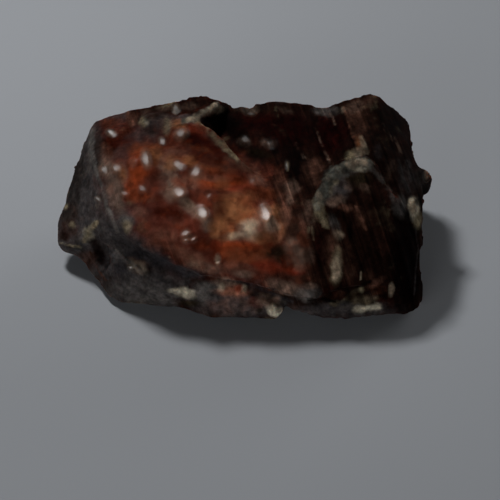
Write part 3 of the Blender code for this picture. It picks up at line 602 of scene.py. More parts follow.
@dataclass(frozen=True)
class FrontView:
    """The camera in front of the stone, which looks down on its worn dome.

    distance, aim, lens and sensor are in millimetres and nearest is in metres. side is the width
    of the square frame.
    """

    tilt: float = math.radians(44.5)
    distance: float = 189.0
    aim: Place = (0.75, -2.66, 4.08)
    lens: float = 122.6
    sensor: float = 36.0
    side: float = 500.0
    nearest: float = 0.01

    def up(self) -> np.ndarray:
        """The direction that is up in the view."""
        return np.array([0.0, math.sin(self.tilt), math.cos(self.tilt)])

    def back(self) -> np.ndarray:
        """The direction from the stone to the camera."""
        return np.array([0.0, -math.cos(self.tilt), math.sin(self.tilt)])

    def place(self) -> np.ndarray:
        """Where the camera is, in millimetres."""
        return np.array(self.aim) + self.back() * self.distance

    def zoom(self) -> float:
        """How many steps of the frame one unit across at one unit away spans."""
        return self.lens / self.sensor * self.side

    def step(self) -> float:
        """How wide one unit of the frame is at the stone, in millimetres."""
        return self.distance / self.zoom()

    def project(self, points: np.ndarray) -> tuple[np.ndarray, np.ndarray]:
        """Where points are seen.

        Args:
            points: places in millimetres, one to a row.

        Returns:
            Their spots in the frame, one to a row, and how far from the camera they are.
        """
        offset = points - self.place()
        depth = -(offset @ self.back())
        middle = self.side / 2
        across = middle + self.zoom() * offset[:, 0] / depth
        down = middle - self.zoom() * (offset @ self.up()) / depth
        return np.stack([across, down], axis=1), depth

    def line(self, spot: Spot) -> np.ndarray:
        """The direction from the camera through a spot in the frame.

        Args:
            spot: the spot, across and down.

        Returns:
            The direction, of no fixed length.
        """
        middle = self.side / 2
        right = np.array([1.0, 0.0, 0.0]) * (spot[0] - middle) / self.zoom()
        rise = self.up() * (middle - spot[1]) / self.zoom()
        return right + rise - self.back()

    def add_camera(self) -> None:
        """Makes the camera and gives it to the scene."""
        bpy.ops.object.camera_add(location=Vector(self.place()) * MM)
        camera = bpy.context.object
        camera.name = "front_camera"
        camera.rotation_mode = "QUATERNION"
        camera.rotation_quaternion = (-Vector(self.back())).to_track_quat("-Z", "Y")
        camera.data.lens = self.lens
        camera.data.sensor_width = self.sensor
        camera.data.clip_start = self.nearest
        bpy.context.scene.camera = camera


def only(thing: bpy.types.Object) -> None:
    """Selects one object and makes it the active one.

    Args:
        thing: the object that the next operators act on.
    """
    bpy.ops.object.select_all(action="DESELECT")
    thing.select_set(True)
    bpy.context.view_layer.objects.active = thing


def ramp(values: np.ndarray, low: float, high: float) -> np.ndarray:
    """A smooth step from 0 at low to 1 at high."""
    share = np.clip((values - low) / (high - low), 0.0, 1.0)
    return share * share * (3.0 - 2.0 * share)


def mix(colour: np.ndarray, tint: Tint, share: np.ndarray) -> np.ndarray:
    """Colours moved towards a tint by a share for each vertex."""
    share = np.clip(share, 0.0, 1.0)[:, None]
    return colour * (1.0 - share) + np.array(tint.value) * share


def lump_of(gap: np.ndarray) -> np.ndarray:
    """A round-topped lump: 1 where the gap is 0, falling softly to 0 where it is 1 or more."""
    return (1.0 - np.clip(gap, 0.0, 1.0) ** 2) ** 2


@dataclass(frozen=True)
class Haze:
    """Soft cloudy noise.

    size is how large its clouds are, in millimetres. seed shifts the pattern, so that two kinds of
    it differ, and stride is how far one step of the seed shifts it along each axis. layers is how
    many kinds are added up: each is finer times as fine as the one before, and so much weaker, to
    the power of fade.
    """

    size: float
    seed: float
    layers: int
    fade: float = 1.0
    finer: float = 2.1
    stride: Place = (7.3, 3.1, 5.7)

    def at(self, points: np.ndarray) -> np.ndarray:
        """Its value at each place.

        Args:
            points: the places, one to a row.

        Returns:
            A value for each, mostly between -1 and 1.
        """
        shift = Vector([self.seed * step for step in self.stride])
        moved = (Vector(point) / self.size + shift for point in points.tolist())
        return np.array([noise.fractal(p, self.fade, self.finer, self.layers) for p in moved])


@dataclass(frozen=True)
class Wash:
    """A tint that sets in as a haze rises from low to high.

    cover is how much it then hides of what is under it. A turned wash sets in as the haze falls.
    """

    haze: Haze
    low: float
    high: float
    tint: Tint
    cover: float
    turned: bool = False

    def share(self, points: np.ndarray, extra: np.ndarray | float = 0.0) -> np.ndarray:
        """How far it has set in at each place, where extra is added to the haze."""
        value = self.haze.at(points)
        return ramp((-value if self.turned else value) + extra, self.low, self.high)

    def over(self, colour: np.ndarray, share: np.ndarray) -> np.ndarray:
        """Colours with its tint laid over them by a share for each vertex."""
        return mix(colour, self.tint, share * self.cover)


SWELLS = Haze(2.3, 1.0, 2)


@dataclass(frozen=True)
class BackVeins:
    """Thin crooked veins on the sides that face away from the front camera."""

    haze: Haze = Haze(10.0, 16.0, 2)
    core: float = 0.008
    edge: float = 0.035

    def at(self, points: np.ndarray) -> np.ndarray:
        """1 along the middle of a vein and 0 off it."""
        return 1.0 - ramp(np.abs(self.haze.at(points)), self.core, self.edge)


BACK_VEINS = BackVeins()


@dataclass(frozen=True)
class Surface:
    """A skin's vertices, and where the front camera sees them.

    points and depth are in millimetres, and spots are in the frame of the view. A mark reaches
    onto what lies within its allowance of its own depth, and fades out behind and before that: a
    patch's allowance grows with its reach. turning is where a face turns hidden, as a share of
    facing away, and zone_edge is where the edge of a zone starts and ends.
    """

    view: FrontView
    tree: BVHTree
    points: np.ndarray
    normals: np.ndarray
    spots: np.ndarray
    depth: np.ndarray
    patch_allowance: float = 1.5
    reach_allowance: float = 0.16
    line_allowance: float = 1.6
    layer_fade: float = 3.0
    nowhere: float = 1e6
    turning: Span = (-0.15, 0.1)
    zone_edge: Span = (0.85, 1.1)

    @classmethod
    def of(cls, piece: bpy.types.Object, view: FrontView) -> "Surface":
        """Reads a piece.

        Args:
            piece: the mesh object.
            view: the camera that it is seen by.

        Returns:
            Its vertices as they are now.
        """
        points = cls.read(piece.data.vertices, "co") / MM
        spots, depth = view.project(points)
        tree = BVHTree.FromObject(piece, bpy.context.evaluated_depsgraph_get())
        return cls(view, tree, points, cls.read(piece.data.vertex_normals, "vector"), spots, depth)

    @staticmethod
    def read(rows: bpy.types.bpy_prop_collection, name: str) -> np.ndarray:
        """Reads a mesh's rows of three numbers.

        Args:
            rows: the mesh's vertices or normals.
            name: which of their values is read.

        Returns:
            The numbers, three to a row.
        """
        flat = np.empty(len(rows) * 3, np.float32)
        rows.foreach_get(name, flat)
        return flat.reshape(-1, 3).astype(float)

    def depth_at(self, spot: Spot) -> float:
        """How far from the camera the stone is.

        Args:
            spot: where it is looked at.

        Returns:
            The depth there, in millimetres, or a far value beside the stone.
        """
        line = Vector(self.view.line(spot))
        hit = self.tree.ray_cast(Vector(self.view.place()) * MM, line.normalized())[0]
        if hit is None:
            return self.nowhere
        return float(self.view.project(np.array([hit]) / MM)[1][0])

    def off_layer(self, depth: np.ndarray | float, allowance: float) -> np.ndarray:
        """How much each vertex lies on another layer of the stone than a depth: 0 if it doesn't."""
        layer = np.abs(self.depth - depth) / allowance
        return np.clip(layer - 1.0, 0.0, None) * self.layer_fade

    def spread(self, seen: Spot, reach: Spot, lean: float,
               spots: np.ndarray | None = None) -> np.ndarray:
        """How far from a spot's middle each vertex is, in shares of its reach.

        Args:
            seen: the middle of the spot.
            reach: its half width and half height.
            lean: how far it is turned, in degrees.
            spots: where each vertex is taken to be seen, if not where it is.

        Returns:
            0 at the middle, 1 at the edge, and more outside it or on another layer of the stone.
        """
        turn = math.radians(lean)
        offset = ((self.spots if spots is None else spots) - np.array(seen)) * np.array([1.0, -1.0])
        along = offset[:, 0] * math.cos(turn) + offset[:, 1] * math.sin(turn)
        beside = -offset[:, 0] * math.sin(turn) + offset[:, 1] * math.cos(turn)
        share = np.hypot(along / reach[0], beside / reach[1])
        allowance = self.patch_allowance + self.reach_allowance * max(reach)
        return share + self.off_layer(self.depth_at(seen), allowance)

    def along_path(self, path: tuple[Spot, ...], width: float,
                   spots: np.ndarray | None = None) -> np.ndarray:
        """How far from a line each vertex is, in shares of its half width.

        Args:
            path: the spots that the line passes.
            width: its half width.
            spots: where each vertex is taken to be seen, if not where it is.

        Returns:
            0 on the line, 1 at its edge, and more outside it or on another layer of the stone.
        """
        spots = self.spots if spots is None else spots
        best = np.full(len(spots), self.nowhere)
        corners = [np.array(spot, float) for spot in path]
        depths = [self.depth_at(spot) for spot in path]
        for start, end, near, far in zip(corners[:-1], corners[1:], depths[:-1], depths[1:]):
            step = end - start
            share = np.clip((spots - start) @ step / (step @ step), 0.0, 1.0)
            gap = np.linalg.norm(spots - (start + share[:, None] * step), axis=1) / width
            layer = self.off_layer(near + (far - near) * share, self.line_allowance)
            best = np.minimum(best, gap + layer)
        return best

    def hidden(self) -> np.ndarray:
        """How much each vertex faces away from the front camera.

        Returns:
            A share for each, from 0 to 1.
        """
        to_eye = self.view.place() - self.points
        facing = (self.normals * to_eye).sum(axis=1) / np.linalg.norm(to_eye, axis=1)
        return ramp(-facing, *self.turning)

    def zone_share(self, zone: Zone) -> np.ndarray:
        """How much each vertex belongs to a zone, from the large patches alone.

        Args:
            zone: the kind of surface.

        Returns:
            A share for each vertex, from 0 to 1.
        """
        share = np.zeros(len(self.spots))
        for patch in ZONE_PATCHES:
            if patch.zone is zone:
                gap = self.spread(patch.seen, patch.reach, patch.lean)
                share = np.maximum(share, 1.0 - ramp(gap, *self.zone_edge))
        return share


@dataclass(frozen=True)
class Relief:
    """The low forms that are raised on the skin, with their heights in millimetres.

    rib_slant, rib_run and rib_bend turn the ribs along the broken faces, and body is where the
    striped body starts and where it is whole, along the stone. riser is where in each step its
    rise starts, and step_sink is how far the steps are let in. bead_left is the share of a bead
    that is left once it is worn. The relief fades out over sole, the height of the stone's foot.
    """

    swell: float = 0.24
    ripples: Haze = Haze(0.8, 2.0, 1)
    ripple: float = 0.03
    lumps: Haze = Haze(1.3, 3.0, 2)
    lump: float = 0.07
    ribs: Haze = Haze(0.85, 4.0, 2)
    rib: float = 0.1
    rib_slant: float = 0.24
    rib_run: float = 0.13
    rib_bend: float = 0.05
    waves: Haze = Haze(2.2, 5.0, 2)
    wave: float = 0.09
    body: Span = (4.0, 8.0)
    steps: Haze = Haze(3.2, 6.0, 3)
    step_stretch: Place = (0.5, 1.0, 1.4)
    step_count: float = 4.0
    riser: float = 0.72
    step: float = 0.75
    step_sink: float = 0.1
    veins: BackVeins = BACK_VEINS
    vein: float = 0.07
    bead_left: float = 0.6
    sole: Span = (0.05, 0.8)

    def rise(self, surface: Surface) -> np.ndarray:
        """How far each vertex moves outwards.

        Args:
            surface: the skin before its relief.

        Returns:
            The whole relief, in millimetres, fading out where the stone touches the floor.
        """
        points = surface.points
        dome = surface.zone_share(Zone.GLOW)
        striped = np.maximum(surface.zone_share(Zone.STRIAE),
                             ramp(points[:, 0], *self.body) * (1.0 - dome))
        rest = np.clip(1.0 - dome - striped, 0.0, 1.0)
        rise = dome * (SWELLS.at(points) * self.swell + self.ripples.at(points) * self.ripple)
        rise += striped * self.striations(points)
        rise += rest * (self.lumps.at(points) * self.lump)
        rise += surface.hidden() * (self.broken_steps(points) * self.step - self.step_sink
                                    + self.veins.at(points) * self.vein)
        for bead in BEADS:
            gap = surface.spread(bead.seen, bead.reach, bead.lean)
            rise += lump_of(gap) * bead.height * self.bead_left
        for trace in TRACES:
            if trace.height:
                rise += lump_of(surface.along_path(trace.path, trace.width)) * trace.height
        return rise * ramp(points[:, 2], *self.sole)

    def broken_steps(self, points: np.ndarray) -> np.ndarray:
        """Low steps with flat treads that run along the prism, as a broken face has.

        Args:
            points: the vertices, in millimetres.

        Returns:
            How high each lies in the steps, mostly between -1 and 1.
        """
        level = self.steps.at(points * np.array(self.step_stretch)) * self.step_count
        tread = np.floor(level)
        return (tread + ramp(level - tread, self.riser, 1.0)) / self.step_count

    def striations(self, points: np.ndarray) -> np.ndarray:
        """Fine ribs that run down the broken faces of the striped body.

        Args:
            points: the vertices, in millimetres.

        Returns:
            How far each is raised, in millimetres.
        """
        across = points[:, 0] + self.rib_slant * (points[:, 1] + points[:, 2])
        down = points[:, 1] - points[:, 2]
        drawn = np.stack([across, down * self.rib_run, points[:, 1] * self.rib_bend], axis=1)
        return self.ribs.at(drawn) * self.rib + self.waves.at(points) * self.wave


@dataclass(frozen=True)
class Crown:
    """How a glassy bead's crown is turned halfway between the key light and the front camera.

    radius is how gently it is rounded, in half widths of the bead. most is how far a vertex may
    move, in millimetres, widening is how far beyond the bead it reaches, and hold is the share of
    that inside which it is turned in full.
    """

    key: KeyLight = KEY
    radius: float = 6.0
    most: float = 0.6
    widening: float = 1.35
    hold: float = 0.35

    def facing(self, crown: np.ndarray, view: FrontView) -> np.ndarray:
        """The direction in which a crown shines.

        Args:
            crown: the middle of the crown, in millimetres.
            view: the front camera.

        Returns:
            The direction halfway between the key light and the camera, one long.
        """
        to_light = np.array(self.key.place) / MM - crown
        to_eye = view.place() - crown
        facing = to_light / np.linalg.norm(to_light) + to_eye / np.linalg.norm(to_eye)
        return facing / np.linalg.norm(facing)

    def turn(self, surface: Surface, points: np.ndarray, bead: Bead) -> None:
        """Turns one bead's crown.

        Args:
            surface: the skin before its relief.
            points: the raised vertices, which are moved in place.
            bead: the bead to turn.
        """
        reach = (bead.reach[0] * self.widening, bead.reach[1] * self.widening)
        share = np.clip(surface.spread(bead.seen, reach, bead.lean), 0.0, 1.0)
        near = share < 1.0
        if not near.any():
            return
        crown = points[near][np.argmin(share[near])]
        facing = self.facing(crown, surface.view)
        offset = points[near] - crown
        lift = offset @ facing
        beside = np.linalg.norm(offset - lift[:, None] * facing, axis=1)
        radius = self.radius * max(bead.reach) * surface.view.step()
        shift = np.clip(-(beside**2) / (2.0 * radius) - lift, -self.most, self.most)
        weight = 1.0 - ramp(share[near], self.hold, 1.0)
        points[near] += facing * (shift * weight)[:, None]


@dataclass(frozen=True)
class Paint:
    """The stone's colours, from the ground up to the glass of its beads.

    Grey skin grows thicker towards the left end, underneath and on the right end, over the spans
    that the grey_ fields give. Windows and veins belong to the far sides. drift and fray move the
    edges of the marks, and the dome is calmer by dome_calm. The front gets painted shade and
    light: top_painted_shade is how dark it is painted along its top, foot_painted_light how much
    paler it is painted at its foot, and dome_foot_painted_light how much paler again at the foot
    of the dome. The glass_ fields shape the crowns of the beads, and glass and painted_glint_cover
    paint a highlight on the shining ones.
    """

    ground: Tint = Tint.COCOA
    warm: Wash = Wash(Haze(4.5, 11.0, 3), 0.0, 0.5, Tint.CHESTNUT, 0.5)
    red: Wash = Wash(Haze(3.4, 12.0, 3), 0.15, 0.55, Tint.BLOOD, 0.6)
    grey: Wash = Wash(Haze(5.0, 13.0, 3), 0.35, 0.8, Tint.SLATE, 1.0)
    grey_left: Span = (2.0, 14.0)
    grey_left_most: float = 0.9
    grey_under: Span = (0.2, 0.8)
    grey_under_most: float = 0.7
    grey_end: Span = (19.7, 20.3)
    ash: Wash = Wash(Haze(2.2, 14.0, 3), 0.2, 0.7, Tint.ASH, 0.5)
    tan: Wash = Wash(Haze(3.0, 15.0, 4), 0.42, 0.62, Tint.TAN, 0.8)
    window: Wash = Wash(Haze(3.6, 17.0, 3), 0.12, 0.5, Tint.MAROON, 0.55)
    window_core: Wash = Wash(Haze(2.4, 18.0, 3), 0.2, 0.6, Tint.RUST, 0.5)
    veins: BackVeins = BACK_VEINS
    vein: Wash = Wash(Haze(5.0, 19.0, 1), -0.1, 0.3, Tint.TAN, 0.5)
    drift: tuple[Haze, Haze] = (Haze(1.6, 21.0, 3), Haze(1.6, 22.0, 3))
    fray: tuple[Haze, Haze] = (Haze(0.6, 23.0, 2), Haze(0.6, 24.0, 2))
    mottle: Haze = Haze(0.9, 25.0, 3)
    dome_calm: float = 0.7
    calm_wander: float = 0.4
    dome_washes_and_swell_shade: tuple[Wash, ...] = (
        Wash(Haze(1.5, 31.0, 3), 0.05, 0.5, Tint.EMBER, 0.22),
        Wash(Haze(1.1, 32.0, 3), 0.1, 0.55, Tint.BLOOD, 0.5),
        Wash(Haze(0.9, 33.0, 3), 0.25, 0.7, Tint.CREAM, 0.02),
        # Painted shade in the hollows between the swells, and painted light on their tops.
        Wash(SWELLS, 0.1, 0.6, Tint.BLOOD, 0.5, turned=True),
        Wash(SWELLS, 0.15, 0.6, Tint.ROSE, 0.07),
    )
    shade: Haze = Haze(0.7, 34.0, 2)
    shade_most: float = 0.4
    shade_calm: float = 0.2
    # Painted shade along the front's top and painted light towards its foot, and where they set in.
    top_painted_shade: float = 0.72
    foot_painted_light: float = 0.28
    dome_foot_painted_light: float = 0.5
    top_to_foot: Span = (148.0, 238.0)
    dome_from: Span = (145.0, 205.0)
    dome_to: Span = (300.0, 325.0)
    pits: Wash = Wash(Haze(0.8, 36.0, 3), -0.05, 0.4, Tint.COCOA, 0.45)
    dome_polish: float = 0.003
    back_gloss: Haze = Haze(2.6, 35.0, 2)
    back_gloss_sets_in: Span = (-0.1, 0.4)
    back_gloss_most: float = 0.12
    # A painted highlight: the shining crowns are painted paler in glass, by painted_glint_cover.
    glass: Tint = Tint.CREAM
    painted_glint_cover: float = 0.35
    glass_reach: float = 1.25
    glass_edge: float = 1.5
    least_glass: float = 0.15

    def lay(self, piece: bpy.types.Object, view: FrontView) -> None:
        """Paints the piece and stores its colours, zones and polish as attributes.

        Args:
            piece: the finished skin.
            view: the camera that the marks of the front are placed by.
        """
        surface = Surface.of(piece, view)
        hidden = surface.hidden()
        colour, zones = self.lay_ground(surface)
        colour = self.lay_far_side(surface, colour, zones, hidden)
        colour = self.lay_marks(surface, colour, zones, 1.0 - hidden)
        colour = self.vary(surface.points, colour, zones[Zone.GLOW])
        # Painted shade and light: the front is darkened along its top and brightened towards its foot.
        colour *= 1.0 + (1.0 - hidden)[:, None] * (self.painted_light_factor(surface.spots) - 1.0)
        colour = self.pits.over(colour, self.pits.share(surface.points) * zones[Zone.CRUST])
        back_gloss = ramp(self.back_gloss.at(surface.points), *self.back_gloss_sets_in)
        polish = zones[Zone.GLOW] * self.dome_polish + hidden * back_gloss * self.back_gloss_most
        colour, polish = self.lay_glass_and_painted_glints(surface, colour, polish)
        self.store(piece, colour, zones, polish)

    def lay_ground(self, surface: Surface) -> tuple[np.ndarray, Shares]:
        """The colour and kind of surface that the stone has where nothing else is painted.

        Args:
            surface: the skin.

        Returns:
            A colour for each vertex, and the share of each zone there.
        """
        points = surface.points
        colour = np.tile(np.array(self.ground.value), (len(points), 1))
        for wash in (self.warm, self.red):
            colour = wash.over(colour, wash.share(points))
        greyer = (ramp(-points[:, 0], *self.grey_left) * self.grey_left_most
                  + ramp(-surface.normals[:, 2], *self.grey_under) * self.grey_under_most
                  + ramp(points[:, 0], *self.grey_end))
        grey = self.grey.share(points, greyer)
        colour = self.grey.over(colour, grey)
        colour = self.ash.over(colour, self.ash.share(points) * grey)
        tan = self.tan.share(points)
        colour = self.tan.over(colour, tan)
        zones = {Zone.GLOW: np.zeros(len(points)), Zone.STRIAE: 1.0 - grey, Zone.CRUST: tan,
                 Zone.SKIN: grey}
        return colour, zones

    def lay_far_side(self, surface: Surface, colour: np.ndarray, zones: Shares,
                     hidden: np.ndarray) -> np.ndarray:
        """Red windows and crusted veins on the sides that face away from the front camera.

        Args:
            surface: the skin.
            colour: the colours so far.
            zones: the share of each zone, changed in place.
            hidden: how much each vertex faces away.

        Returns:
            The changed colours.
        """
        points = surface.points
        window = self.window.share(points) * hidden * (1.0 - zones[Zone.SKIN])
        colour = self.window.over(colour, window)
        colour = self.window_core.over(colour, self.window_core.share(points) * window)
        vein = self.veins.at(points) * self.vein.share(points) * hidden
        colour = self.vein.over(colour, vein)
        self.lay_zone(zones, Zone.CRUST, vein)
        return colour

    def lay_marks(self, surface: Surface, colour: np.ndarray, zones: Shares,
                  seen: np.ndarray) -> np.ndarray:
        """The patches and then the lines of the front, each over the ones before it.

        Args:
            surface: the skin.
            colour: the colours so far.
            zones: the share of each zone, changed in place.
            seen: how much each vertex faces the front camera.

        Returns:
            The changed colours.
        """
        drift = np.stack([haze.at(surface.points) for haze in self.drift], axis=1)
        fray = np.stack([haze.at(surface.points) for haze in self.fray], axis=1)
        mottle = self.mottle.at(surface.points)
        steady = 1.0 - self.dome_calm * surface.zone_share(Zone.GLOW)
        for mark in ZONE_PATCHES + DOME_PATCHES + LEFT_PATCHES + RIGHT_PATCHES + TRACES:
            brush = mark.brush()
            calm = steady if brush.calmed else np.ones(len(seen))
            wander = min(mark.half_width() * brush.wander, brush.most)
            wander = (wander * (self.calm_wander + (1.0 - self.calm_wander) * calm))[:, None]
            moved = surface.spots + drift * wander + fray * wander * brush.fray
            cover = np.clip(mark.cover + mottle * brush.mottle * calm, 0.0, 1.0) * seen
            share = (1.0 - ramp(mark.gap(surface, moved), *brush.soft)) * cover
            colour = mix(colour, mark.tint, share)
            self.lay_zone(zones, mark.zone, share)
            log.debug("painted %s", mark.name)
        return colour

    @staticmethod
    def lay_zone(zones: Shares, zone: Zone | None, share: np.ndarray) -> None:
        """Gives a share of each vertex to one zone and takes it from the others.

        Args:
            zones: the share of each zone, changed in place.
            zone: the zone that gains, or None where nothing changes.
            share: how much it gains at each vertex.
        """
        if zone is None:
            return
        for other in zones:
            zones[other] = zones[other] * (1.0 - share) + (share if other is zone else 0.0)

    def vary(self, points: np.ndarray, colour: np.ndarray, glow: np.ndarray) -> np.ndarray:
        """Lets the colours swim a little, most of all in the glowing dome, with painted shade in the
        hollows between its swells and painted light on their tops.

        Args:
            points: the vertices, in millimetres.
            colour: their colours.
            glow: how much each belongs to the dome.

        Returns:
            The changed colours.
        """
        for wash in self.dome_washes_and_swell_shade:
            colour = wash.over(colour, wash.share(points) * glow)
        shade = np.exp(self.shade.at(points) * (self.shade_most - self.shade_calm * glow))
        return colour * shade[:, None]

    def painted_light_factor(self, spots: np.ndarray) -> np.ndarray:
        """Painted shade and light on the front: darker along its top and paler towards its foot.

        Args:
            spots: where each vertex is seen.

        Returns:
            A factor for each vertex: low along the top, and highest at the dome's foot.
        """
        low = ramp(spots[:, 1], *self.top_to_foot)
        middle = ramp(spots[:, 0], *self.dome_from) * (1.0 - ramp(spots[:, 0], *self.dome_to))
        low *= self.foot_painted_light + self.dome_foot_painted_light * middle
        return (self.top_painted_shade + low)[:, None]

    def lay_glass_and_painted_glints(self, surface: Surface, colour: np.ndarray,
                  polish: np.ndarray) -> tuple[np.ndarray, np.ndarray]:
        """The glassy crowns of the beads, which shine, and a painted highlight that makes them paler.

        Args:
            surface: the skin.
            colour: the colours so far.
            polish: how glassy each vertex is so far.

        Returns:
            The changed colours and polish.
        """
        for bead in BEADS:
            gap = surface.spread(bead.seen, bead.reach, bead.lean) / self.glass_reach
            crown = (1.0 - np.clip(gap, 0.0, 1.0) ** 2) ** self.glass_edge
            # Painted highlight: each crown is painted paler as much as it shines.
            colour = mix(colour, self.glass, crown * self.painted_glint_cover * bead.shine)
            polish = np.maximum(polish, crown * max(bead.shine, self.least_glass))
            log.debug("polished %s", bead.name)
        return colour, polish

    @staticmethod
    def store(piece: bpy.types.Object, colour: np.ndarray, zones: Shares,
              polish: np.ndarray) -> None:
        """Writes the paint into the mesh as attributes.

        Args:
            piece: the finished skin.
            colour: a colour for each vertex.
            zones: the share of each zone.
            polish: how glassy each vertex is.
        """
        tint = piece.data.attributes.new(Layer.TINT.value, "FLOAT_COLOR", "POINT")
        full = np.concatenate([colour, np.ones((len(colour), 1))], axis=1)
        tint.data.foreach_set("color", full.astype(np.float32).ravel())
        for kind, share in (*zones.items(), (Layer.POLISH, polish)):
            layer = piece.data.attributes.new(kind.value, "FLOAT", "POINT")
            layer.data.foreach_set("value", share.astype(np.float32))


@dataclass(frozen=True)
class CrystalSkin:
    """The whole outer skin of the stone, finer than the solid that it replaces.

    grain is the width of its cells, in millimetres, and weld is how close the corners of the
    solid's loose triangles are when they are one, in metres.
    """

    node: str = "zircon"
    name: str = "crystal_skin"
    weld: float = 1e-6
    grain: float = 0.165
    calm_share: float = 0.5
    calm_passes: int = 6
    most_triangles: int = 190_000
    view: FrontView = FrontView()
    relief: Relief = Relief()
    crown: Crown = Crown()
    colours: Paint = Paint()

    def build(self) -> bpy.types.Object:
        """Copies the solid, refines it, raises its relief and paints it.

        Returns:
            The finished piece, with its colours as attributes.
        """
        piece = self.copy_solid()
        self.refine(piece)
        self.raise_relief(piece)
        self.thin(piece)
        self.colours.lay(piece, self.view)
        return piece

    def copy_solid(self) -> bpy.types.Object:
        """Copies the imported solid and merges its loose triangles.

        Returns:
            The copy, which is selected alone.
        """
        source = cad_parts[self.node]
        piece = bpy.data.objects.new(self.name, source.data.copy())
        bpy.context.scene.collection.objects.link(piece)
        only(piece)
        bpy.ops.object.mode_set(mode="EDIT")
        bpy.ops.mesh.select_all(action="SELECT")
        bpy.ops.mesh.remove_doubles(threshold=self.weld)
        bpy.ops.object.mode_set(mode="OBJECT")
        return piece

    def refine(self, piece: bpy.types.Object) -> None:
        """Gives the piece an even, fine grain and rubs out the solid's flat triangles.

        Args:
            piece: the merged copy.
        """
        only(piece)
        bpy.ops.object.modifier_add(type="REMESH")
        remesh = piece.modifiers[-1]
        remesh.mode = "VOXEL"
        remesh.voxel_size = self.grain * MM
        bpy.ops.object.modifier_apply(modifier=remesh.name)
        bpy.ops.object.modifier_add(type="SMOOTH")
        calm = piece.modifiers[-1]
        calm.factor = self.calm_share
        calm.iterations = self.calm_passes
        bpy.ops.object.modifier_apply(modifier=calm.name)

    def raise_relief(self, piece: bpy.types.Object) -> None:
        """Moves the vertices out by the relief, turns the crowns, and keeps the sole level.

        Args:
            piece: the refined copy.
        """
        surface = Surface.of(piece, self.view)
        points = surface.points + surface.normals * self.relief.rise(surface)[:, None]
        for bead in BEADS:
            if bead.shine:
                self.crown.turn(surface, points, bead)
        points[:, 2] = np.maximum(points[:, 2], 0.0)
        piece.data.vertices.foreach_set("co", (points * MM).astype(np.float32).ravel())
        piece.data.update()

    def thin(self, piece: bpy.types.Object) -> None:
        """Drops the triangles that flat stretches can spare, and shades the skin smooth.

        Args:
            piece: the raised skin, all of quads.
        """
        only(piece)
        triangles = len(piece.data.polygons) * 2
        if triangles > self.most_triangles:
            bpy.ops.object.modifier_add(type="DECIMATE")
            fewer = piece.modifiers[-1]
            fewer.ratio = self.most_triangles / triangles
            bpy.ops.object.modifier_apply(modifier=fewer.name)
        bpy.ops.object.shade_smooth()


@dataclass(frozen=True)
class Grain:
    """Fine noise in a material.

    scale is how many of its clouds fit into a metre, detail is how many finer layers it has, rough
    is how strong those are, and wander is how much it is distorted.
    """

    scale: float
    detail: float
    rough: float
    wander: float = 0.0


@dataclass(frozen=True)
class Step:
    """A smooth step: least up to low, and most from high on."""

    low: float
    high: float
    least: float
    most: float


